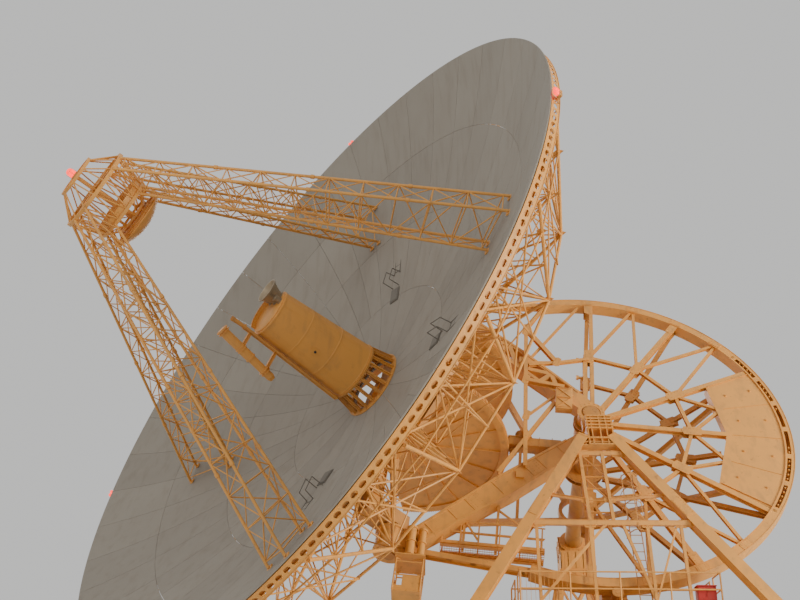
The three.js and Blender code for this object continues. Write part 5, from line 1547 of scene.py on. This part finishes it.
def buildCabinet(bm):
    addBox(bm, cabinet["low"], cabinet["high"], 0.012)
    addBox(bm, (2.38, -3.67, 8.19), (3.0, -3.25, 8.225), 0.008)
    for (x0, x1), hinge in zip(cabinet["doors"], (2.42, 2.96)):
        addBox(bm, (x0, -3.652, 7.6), (x1, -3.64, 8.16))
        for level in (7.68, 8.08):
            addTube(bm, (hinge, -3.655, level - 0.03), (hinge, -3.655, level + 0.03), 0.01)
        for k in range(6):
            level = 7.66 + 0.03 * k
            addBar(bm, (x0 + 0.05, -3.656, level), (x1 - 0.05, -3.656, level), 0.01, 0.006)
    addBox(bm, (2.66, -3.675, 7.86), (2.68, -3.652, 7.96))
    addRibs(bm, 0, (2.455, 2.925), 0.025, (-3.62, 7.5), (-3.3, 7.565))


tower = {"x": 2.95, "rows": (-3.6, -1.05), "base": 0.3, "top": 7.12, "levels": (0.7, 3.4, 6.3)}


def addPostFoot(bm, x, y, reach, thick):
    # foot plate of a tower post with its four anchor bolts
    inset = reach - 0.06
    addBox(bm, (x - reach, y - reach, 0.3), (x + reach, y + reach, 0.3 + thick))
    addBolts(bm, moved(x, y, 0.3 + thick), (-inset, inset), (-inset, inset), 0.03, 0.05)


def buildTower(bm):
    tx, rows, levels = tower["x"], tower["rows"], tower["levels"]
    for x, y in product((-tx, tx), rows):
        low, top = (x, y, tower["base"] + 0.03), (x, y, tower["top"])
        addBoxBeam(bm, low, top, 0.26, 0.26, 0.02, 0.018, yAxis)
        addPostFoot(bm, x, y, 0.24, 0.035)
        for level in levels[1:]:
            addFlange(bm, (x, y, level + 0.5), zUp, yAxis, 0.36, 4, 0.016)
    faces = [((x, rows[0], 0), (x, rows[1], 0), xAxis) for x in (-tx, tx)]
    faces += [((-tx, y, 0), (tx, y, 0), yAxis) for y in rows]
    for a, b, normal in faces:
        a, b = Vector(a), Vector(b)
        along, wide = (b - a).normalized(), normal == yAxis
        for level in levels[1:]:
            left, right = a + zUp * level, b + zUp * level
            addBeam(bm, left + along * 0.12, right - along * 0.12, 0.16, 0.16, 0.014)
            addGusset(bm, left + along * 0.3, normal, along, 0.44)
            addGusset(bm, right - along * 0.3, normal, along, 0.44)
        for k, (low, high) in enumerate(zip(levels, levels[1:])):
            ends = [(a, b), (b, a)] if wide else [(a, b) if k == 0 else (b, a)]
            for p, q in ends:
                addBeam(bm, p + zUp * low, q + zUp * high, 0.13, 0.13, 0.012, normal)
            if wide:
                middle = (a + b + zUp * (low + high)) / 2
                addGusset(bm, middle + normal * 0.07, normal, along, 0.4)


ladder = {"x": (0.64, 1.01), "rungs": 16, "hoops": 5, "hoopRadius": 0.32, "hoopDepth": 0.576}


def ladderSpot(part, x):
    return Vector((x, -3.6 + 1.73 * part, deck - 0.03 + 4.78 * part))


def buildLadder(bm):
    left, right = ladder["x"]
    for x in (left, right):
        addBar(bm, ladderSpot(0.01, x), ladderSpot(1, x), 0.022, 0.06)
    for k in range(ladder["rungs"]):
        part = (k + 0.6) / 16.3
        addTube(bm, ladderSpot(part, left), ladderSpot(part, right), 0.014)
    for part, level in ((0.965, 12.1), (0.765, stand["strut"]), (0.56, stand["tie"])):
        addAngle(bm, ladderSpot(part, 0.65), frontSpot(0.06, level), 0.06)
    away = Vector((0, -4.78, 1.73)).normalized()

    def hoopShift(turn):
        angle = math.pi * turn
        return xAxis * ladder["hoopRadius"] * math.cos(angle) + away * ladder["hoopDepth"] * math.sin(angle)

    for k in range(ladder["hoops"]):
        ring = [ladderSpot(0.5 + 0.11 * k, 0.825) + hoopShift(i / 8) for i in range(9)]
        addChain(bm, addBar, ring, 0.008, 0.035, (0, 0.34, 0.94))
    for turn in (0.2, 0.5, 0.8):
        start, end = (ladderSpot(part, 0.825) + hoopShift(turn) for part in (0.5, 0.94))
        addBar(bm, start, end, 0.03, 0.006, away)


for name, build, slot, nodes in (
    ("frontLegs", buildLegs, "structure_paint", ["front_leg_left", "front_leg_right"]),
    ("frontBracing", buildBracing, "structure_paint", ["front_bracing"]),
    ("driveDeck", buildDeck, "shade_paint", ["drive_platform"]),
    ("frontRailing", lambda bm: buildRailing(bm, "front"), "structure_paint", ["railing_front"]),
    ("backRailing", lambda bm: buildRailing(bm, "back"), "structure_paint", ["railing_back"]),
    ("cabinet", buildCabinet, "cabinet_red", ["cabinet"]),
    ("platformTower", buildTower, "structure_paint", ["platform_tower"]),
    ("accessLadder", buildLadder, "shade_paint", ["access_ladder"]),
):
    piece(name, build, "pedestal", slot, nodes)
print("pedestal front made")

hourDrive = {"pinionY": -7.475, "teeth": 22, "motorFins": 24}


def buildHourDrive(bm):
    # pinion, gearbox and motor in the polar frame, on a welded stand in world axes
    y = hourDrive["pinionY"]
    gear = bmesh.new()
    hub = [(0, -0.42), (0.09, -0.42), (0.09, -0.2), (0.165, -0.2), (0.165, 0.22), (0.08, 0.22), (0.08, 0.23)]
    addTurned(gear, hub + [(0, 0.23)], 40)
    addSpread(gear, hourDrive["teeth"], 0.172, -0.2, 0.22, 0.024, 0.032)
    copies(bm, gear, [polarPlace @ moved(0, y, 0)])
    box = bmesh.new()
    addBox(box, (-0.41, y - 0.31, -0.95), (0.41, y + 0.58, -0.41), 0.04)
    addBox(box, (-0.43, y + 0.11, -0.97), (0.43, y + 0.15, -0.39))
    seam = [x * 0.93 for x in (-0.42, -0.2, 0, 0.2, 0.42)]
    addBolts(box, moved(0, y, -0.405), seam, (0.09, 0.17), 0.018, 0.018)
    copies(bm, box, [polarPlace])
    motor = bmesh.new()
    shell = [(0, -1.5), (0.15, -1.5), (0.17, -1.47), (0.17, -1.0), (0.2, -0.99), (0.2, -0.95), (0, -0.95)]
    addTurned(motor, shell, 32)
    addSpread(motor, hourDrive["motorFins"], 0.175, -1.44, -1.02, 0.008, 0.028)
    copies(bm, motor, [polarPlace @ moved(0, y + 0.42, 0)])
    addBox(bm, (-0.52, -2.6, deck), (0.52, -1.7, deck + 0.03))
    addRibs(bm, 0, (-0.36, 0, 0.36), 0.015, (-2.52, deck + 0.03), (-1.78, deck + 0.28))
    addRibs(bm, 1, (-2.5, -1.8), 0.015, (-0.38, deck + 0.03), (0.38, deck + 0.28))
    addBox(bm, (-0.38, -2.55, deck + 0.27), (0.38, -1.75, deck + 0.3))
    addBolts(bm, moved(0, 0, deck + 0.03), (-0.46, 0.46), (-2.5, -2.15, -1.8), 0.024, 0.024)


rearStand = {"top": 10.6, "posts": (0.52, 2.08, 0.48, 3.3), "centre": 6.3, "levels": (0.7, 4.0, 7.2, 10.3)}


def rearSpot(sx, sy, level):
    part = (rearStand["top"] - level) / rearStand["top"]
    x, growX, y, growY = rearStand["posts"]
    return Vector((sx * (x + growX * part), rearStand["centre"] + sy * (y + growY * part), level))


def buildRearTower(bm):
    top, levels = rearStand["top"], rearStand["levels"]
    for sx, sy in product(sides, sides):
        foot, head = rearSpot(sx, sy, 0.33), rearSpot(sx, sy, top - 0.24)
        addBoxBeam(bm, foot, head, 0.28, 0.28, 0.025, 0.02, yAxis)
        addPostFoot(bm, foot.x, foot.y, 0.26, 0.04)
        for part in (0.33, 0.66):
            addFlange(bm, foot.lerp(head, part), head - foot, yAxis, 0.36, 4, 0.016)
    faces = [((s, -1), (s, 1), xAxis) for s in sides] + [((-1, s), (1, s), yAxis) for s in sides]
    for (low, high), (a, b, normal) in product(zip(levels, levels[1:]), faces):
        left, right = rearSpot(*a, low), rearSpot(*b, low)
        if low > levels[0]:
            addBeam(bm, left, right, 0.15, 0.15, 0.014)
            addGusset(bm, left.lerp(right, 0.12), normal, right - left, 0.42)
            addGusset(bm, right.lerp(left, 0.12), normal, left - right, 0.42)
        addBeam(bm, left, rearSpot(*b, high), 0.12, 0.12, 0.012, normal)
        addAngle(bm, right, rearSpot(*a, high), 0.08, 0.01, normal)
        addGusset(bm, (left + rearSpot(*b, high)) / 2, normal, zUp, 0.34)
    addBox(bm, (-0.66, 5.66, top - 0.04), (0.66, 6.94, top))
    addBox(bm, (-0.66, 5.66, top - 0.24), (0.66, 6.94, top - 0.21))
    addRibs(bm, 0, (-0.62, -0.3, 0, 0.3, 0.62), 0.015, (5.68, top - 0.22), (6.92, top - 0.03))
    addRibs(bm, 1, (5.72, 6.88), 0.015, (-0.64, top - 0.22), (0.64, top - 0.03))


rearBearing = {"low": -7.33, "high": -6.67, "bore": 0.345, "bolts": 16}


def buildRearHousing(bm):
    unit = bmesh.new()
    low, high, bore = rearBearing["low"], rearBearing["high"], rearBearing["bore"]
    addTurned(unit, [
        (bore, -7.46), (0.52, -7.46), (0.56, -7.42), (0.56, -7.36), (0.5, -7.34), (0.5, -6.7), (0.56, -6.66),
        (0.56, -6.6), (0.52, -6.58), (bore, -6.58),
    ], 56)
    addBoltCircle(unit, rearBearing["bolts"], 0.48, -6.58, 0.022, 0.022)
    levels = (low + 0.02, high - 0.02, (low + high) / 2)
    addRibs(unit, 2, levels, 0.02, (-0.62, -0.52), (-0.36, 0.3))
    addRibs(unit, 2, levels, 0.02, (0.36, -0.52), (0.62, 0.3))
    addRibs(unit, 2, levels, 0.02, (-0.62, -0.52), (0.62, -0.36))
    addRibs(unit, 0, (-0.585, -0.365, 0.355, 0.575), 0.015, (-0.5, low), (0.28, high))
    copies(bm, unit, [polarPlace])
    addBox(bm, (-0.62, 5.7, 10.6), (0.62, 6.9, 10.64))
    addRibs(bm, 0, (-0.58, -0.3, 0, 0.3, 0.58), 0.015, (5.74, 10.64), (6.86, 11.3))
    addBox(bm, (-0.6, 5.74, 10.64), (0.6, 5.78, 11.36))
    addBox(bm, (-0.6, 6.8, 10.64), (0.6, 6.84, 11.0))
    addBox(bm, (-0.6, 5.76, 11.1), (0.6, 6.6, 11.14))
    addBolts(bm, moved(0, 0, 10.64), (-0.5, -0.15, 0.15, 0.5), (5.83, 6.76), 0.028, 0.03)


def linkSpot(sx, part, top):
    start = Vector((sx * 1.5, -1.05, 6.3 if top else 4.8))
    return start.lerp(rearSpot(sx, -1, 7.2 if top else 5.7), part)


def buildLink(bm):
    for sx in sides:
        for top in (True, False):
            addBeam(bm, linkSpot(sx, 0.03, top), linkSpot(sx, 0.97, top), 0.16, 0.16, 0.014)
        for part in (0.04, 0.35, 0.66, 0.95):
            low, high = linkSpot(sx, part, False), linkSpot(sx, part, True)
            addBeam(bm, low, high, 0.11)
            addGusset(bm, high, xAxis, yAxis, 0.36)
            addGusset(bm, low, xAxis, yAxis, 0.36)
        for part in (0.05, 0.36, 0.67):
            addAngle(bm, linkSpot(sx, part, False), linkSpot(sx, part + 0.28, True), 0.08, 0.01, xAxis)
    for part, top in product((0.06, 0.35, 0.7, 0.94), (True, False)):
        addBeam(bm, linkSpot(-1, part, top), linkSpot(1, part, top), 0.11)
    for a, b in ((0.06, 0.35), (0.35, 0.7), (0.7, 0.94)):
        addAngle(bm, linkSpot(-1, a, True), linkSpot(1, b, True), 0.07)


piece("hourDrive", buildHourDrive, "pedestal", "shade_paint", ["hour_drive"])
piece("rearTower", buildRearTower, "pedestal", "structure_paint", ["rear_tower"])
piece("rearHousing", buildRearHousing, "pedestal", "structure_paint", ["rear_housing"])
piece("linkGirder", buildLink, "pedestal", "structure_paint", ["link_girder"])

# concrete blocks, each with its low and high corner and the bevel of its top and upright edges
footings = {
    "baseSlab": ("base_slab", [((-3.5, -4.2, 0), (3.5, 0.7, 0.3), 0.045)]),
    "frontFootLeft": ("front_foot_left", [
        ((-10.13, -9.202, 0), (-8.33, -7.402, 0.3), 0.045),
        ((-9.75, -8.72, 0.29), (-8.71, -7.68, 0.34), 0.03),
    ]),
    "frontFootRight": ("front_foot_right", [
        ((8.33, -9.202, 0), (10.13, -7.402, 0.3), 0.045),
        ((8.71, -8.72, 0.29), (9.75, -7.68, 0.34), 0.03),
    ]),
    "rearFootLeft": ("rear_foot_left", [((-3.041, 2.063, 0), (-2.041, 10.537, 0.3), 0.045)]),
    "rearFootRight": ("rear_foot_right", [((2.041, 2.063, 0), (3.041, 10.537, 0.3), 0.045)]),
}


def buildFooting(bm, blocks):
    for low, high, bevel in blocks:
        edges = {e for v in addBox(bm, low, high) for e in v.link_edges}
        bevelEdges(bm, [e for e in edges if max(v.co.z for v in e.verts) > high[2] - 0.01], bevel)


for name, (node, blocks) in footings.items():
    piece(name, lambda bm: buildFooting(bm, blocks), "pedestal", "concrete", [node])
print("pedestal made")

# declination sectors and the girder behind the dish
sector = {
    "radius": 3.65,
    "level": -1.88,
    "from": -52,
    "to": 97,
    "x": 1.6,
    "half": 0.09,
    "teeth": 132,
    "under": -1.0,
    "hub": ((0, 0.02), (0.34, 0.02), (0.3, 0.07), (0, 0.07)),
}


def sectorSpot(reach, degrees, height=0.0):
    angle = math.radians(degrees)
    return Vector((reach * math.sin(angle), sector["level"] - reach * math.cos(angle), height))


def buildSector(bm, side):
    radius, half, under, level = sector["radius"], sector["half"], sector["under"], sector["level"]

    def spread(count, shift=0.5):
        return [sector["from"] + (sector["to"] - sector["from"]) * (k + shift) / count for k in range(count)]

    rimAngles = spread(60, 0) + [sector["to"]]
    unit = bmesh.new()
    outer = [sectorSpot(radius, angle) for angle in rimAngles]
    addPlate(unit, outer + [(0.65, under), (-0.65, under)], 0.05)
    addPlate(unit, outer + [sectorSpot(radius - 0.26, angle) for angle in reversed(rimAngles)], 2 * half)
    for angle in spread(sector["teeth"]):
        spot = sectorSpot(radius + 0.02, angle)
        outward = sectorSpot(1, angle) - yAxis * level
        addBar(unit, spot - zUp * half * 0.9, spot + zUp * half * 0.9, 0.03, 0.04, outward)
    for k, angle in enumerate(spread(8, 0) + [sector["to"]]):
        for height in (-0.05, 0.05):
            start = sectorSpot(0.9 if k in (0, 8) else 0.5, angle, height)
            addBar(unit, start, sectorSpot(radius - 0.26, angle, height), 0.02, 0.06)
    for angle in spread(45):
        spot = sectorSpot(radius - 0.13, angle)
        addBolt(unit, spot + zUp * half)
        addBolt(unit, Matrix.Translation(spot - zUp * half) @ turned(180, "X"))
    for face in sides:
        addTurned(unit, [(r, face * z) for r, z in sector["hub"]], 40, (0, level, 0))
    copies(bm, unit, [moved(side * sector["x"], 0, 0) @ facingX()])


def buildGirderTrim(bm):
    # stiffeners and flange lips on the trunnion girder, bosses at the trunnions
    top, low = -0.5, -1.0
    for y in (-0.38, 0.38):
        for x in range(-11, 12):
            addBox(bm, (x / 2 - 0.01, y - 0.03, low + 0.02), (x / 2 + 0.01, y + 0.03, top - 0.02))
    for level in (low, top - 0.03):
        addRibs(bm, 1, (-0.39, 0.39), 0.04, (-5.75, level), (5.75, level + 0.024))
    for side in sides:
        boss = bmesh.new()
        addTurned(boss, [(0.203, 0), (0.36, 0), (0.36, 0.03), (0.26, 0.06), (0.203, 0.06)], 40)
        addBoltCircle(boss, 12, 0.31, 0.03, 0.018, 0.018)
        copies(bm, boss, [columns(yAxis, zUp * side, xAxis * side, (side * 5.65, 0, sector["level"]))])


piece("lowerSector", lambda bm: buildSector(bm, 1), "reflector", "structure_paint", ["dec_sector_lower"])
piece("upperSector", lambda bm: buildSector(bm, -1), "reflector", "structure_paint", ["dec_sector_upper"])
piece("girderTrim", buildGirderTrim, "reflector", "shade_paint")
print("declination parts made")

# camera at the photograph's place, soft light and floor
camera = {
    "place": (-6.154, -38.019, 1.6),
    "focalPixels": 1084.71,
    "pictureWidth": 800,
    "yaw": -0.023,
    "pitch": 0.4452,
    "roll": 0.0125,
}


def addToScene(name, data, place):
    made = bpy.data.objects.new(name, data)
    made.matrix_world = place
    bpy.context.scene.collection.objects.link(made)
    return made


def setCamera():
    yaw, pitch, roll = camera["yaw"], camera["pitch"], camera["roll"]
    forward = Vector((math.sin(yaw) * math.cos(pitch), math.cos(yaw) * math.cos(pitch), math.sin(pitch)))
    right = Vector((math.cos(yaw), -math.sin(yaw), 0))
    up = right.cross(forward)
    rolledRight = math.cos(roll) * right + math.sin(roll) * up
    rolledUp = -math.sin(roll) * right + math.cos(roll) * up
    data = bpy.data.cameras.new("photoCamera")
    data.sensor_width = 36
    data.lens = 36 * camera["focalPixels"] / camera["pictureWidth"]
    data.clip_end = 2000
    place = columns(rolledRight, rolledUp, -forward, camera["place"])
    bpy.context.scene.camera = addToScene("photoCamera", data, place)


setCamera()

lights = {
    "key": {"place": (46, -30, 16), "aimX": 2, "size": 24, "power": 30000, "color": (1.0, 0.93, 0.82)},
    "fill": {"place": (-40, -52, 34), "aimX": -4, "size": 40, "power": 8000, "color": (0.92, 0.95, 1.0)},
    "back": {"place": (-20, 50, 40), "aimX": 0, "size": 36, "power": 14000, "color": (1.0, 0.97, 0.92)},
}
aimHeight = 14
for name, values in lights.items():
    data = bpy.data.lights.new(name, "AREA")
    data.shape = "DISK"
    data.size = values["size"]
    data.energy = values["power"]
    data.color = values["color"]
    place = Vector(values["place"])
    turn = (Vector((values["aimX"], 0, aimHeight)) - place).to_track_quat("-Z", "Y")
    addToScene(name, data, Matrix.Translation(place) @ turn.to_matrix().to_4x4())

studio = {"world": (0.86, 0.86, 0.85, 1), "strength": 0.8, "floor": (0.7, 0.69, 0.67, 1), "floorSize": 700}
world = bpy.data.worlds.new("studio")
world.use_nodes = True
background = world.node_tree.nodes["Background"].inputs
background["Color"].default_value = studio["world"]
background["Strength"].default_value = studio["strength"]
bpy.context.scene.world = world

bm = bmesh.new()
bmesh.ops.create_grid(bm, x_segments=1, y_segments=1, size=studio["floorSize"])
floorMesh = bpy.data.meshes.new("floor")
bm.to_mesh(floorMesh)
bm.free()
floor = addToScene("floor", floorMesh, Matrix.Identity(4))
floorMaterial = bpy.data.materials.new("paleFloor")
floorMaterial.use_nodes = True
floorShader = floorMaterial.node_tree.nodes["Principled BSDF"].inputs
floorShader["Base Color"].default_value = studio["floor"]
floorShader["Roughness"].default_value = 0.9
floorMesh.materials.append(floorMaterial)
print("camera, light and floor set")
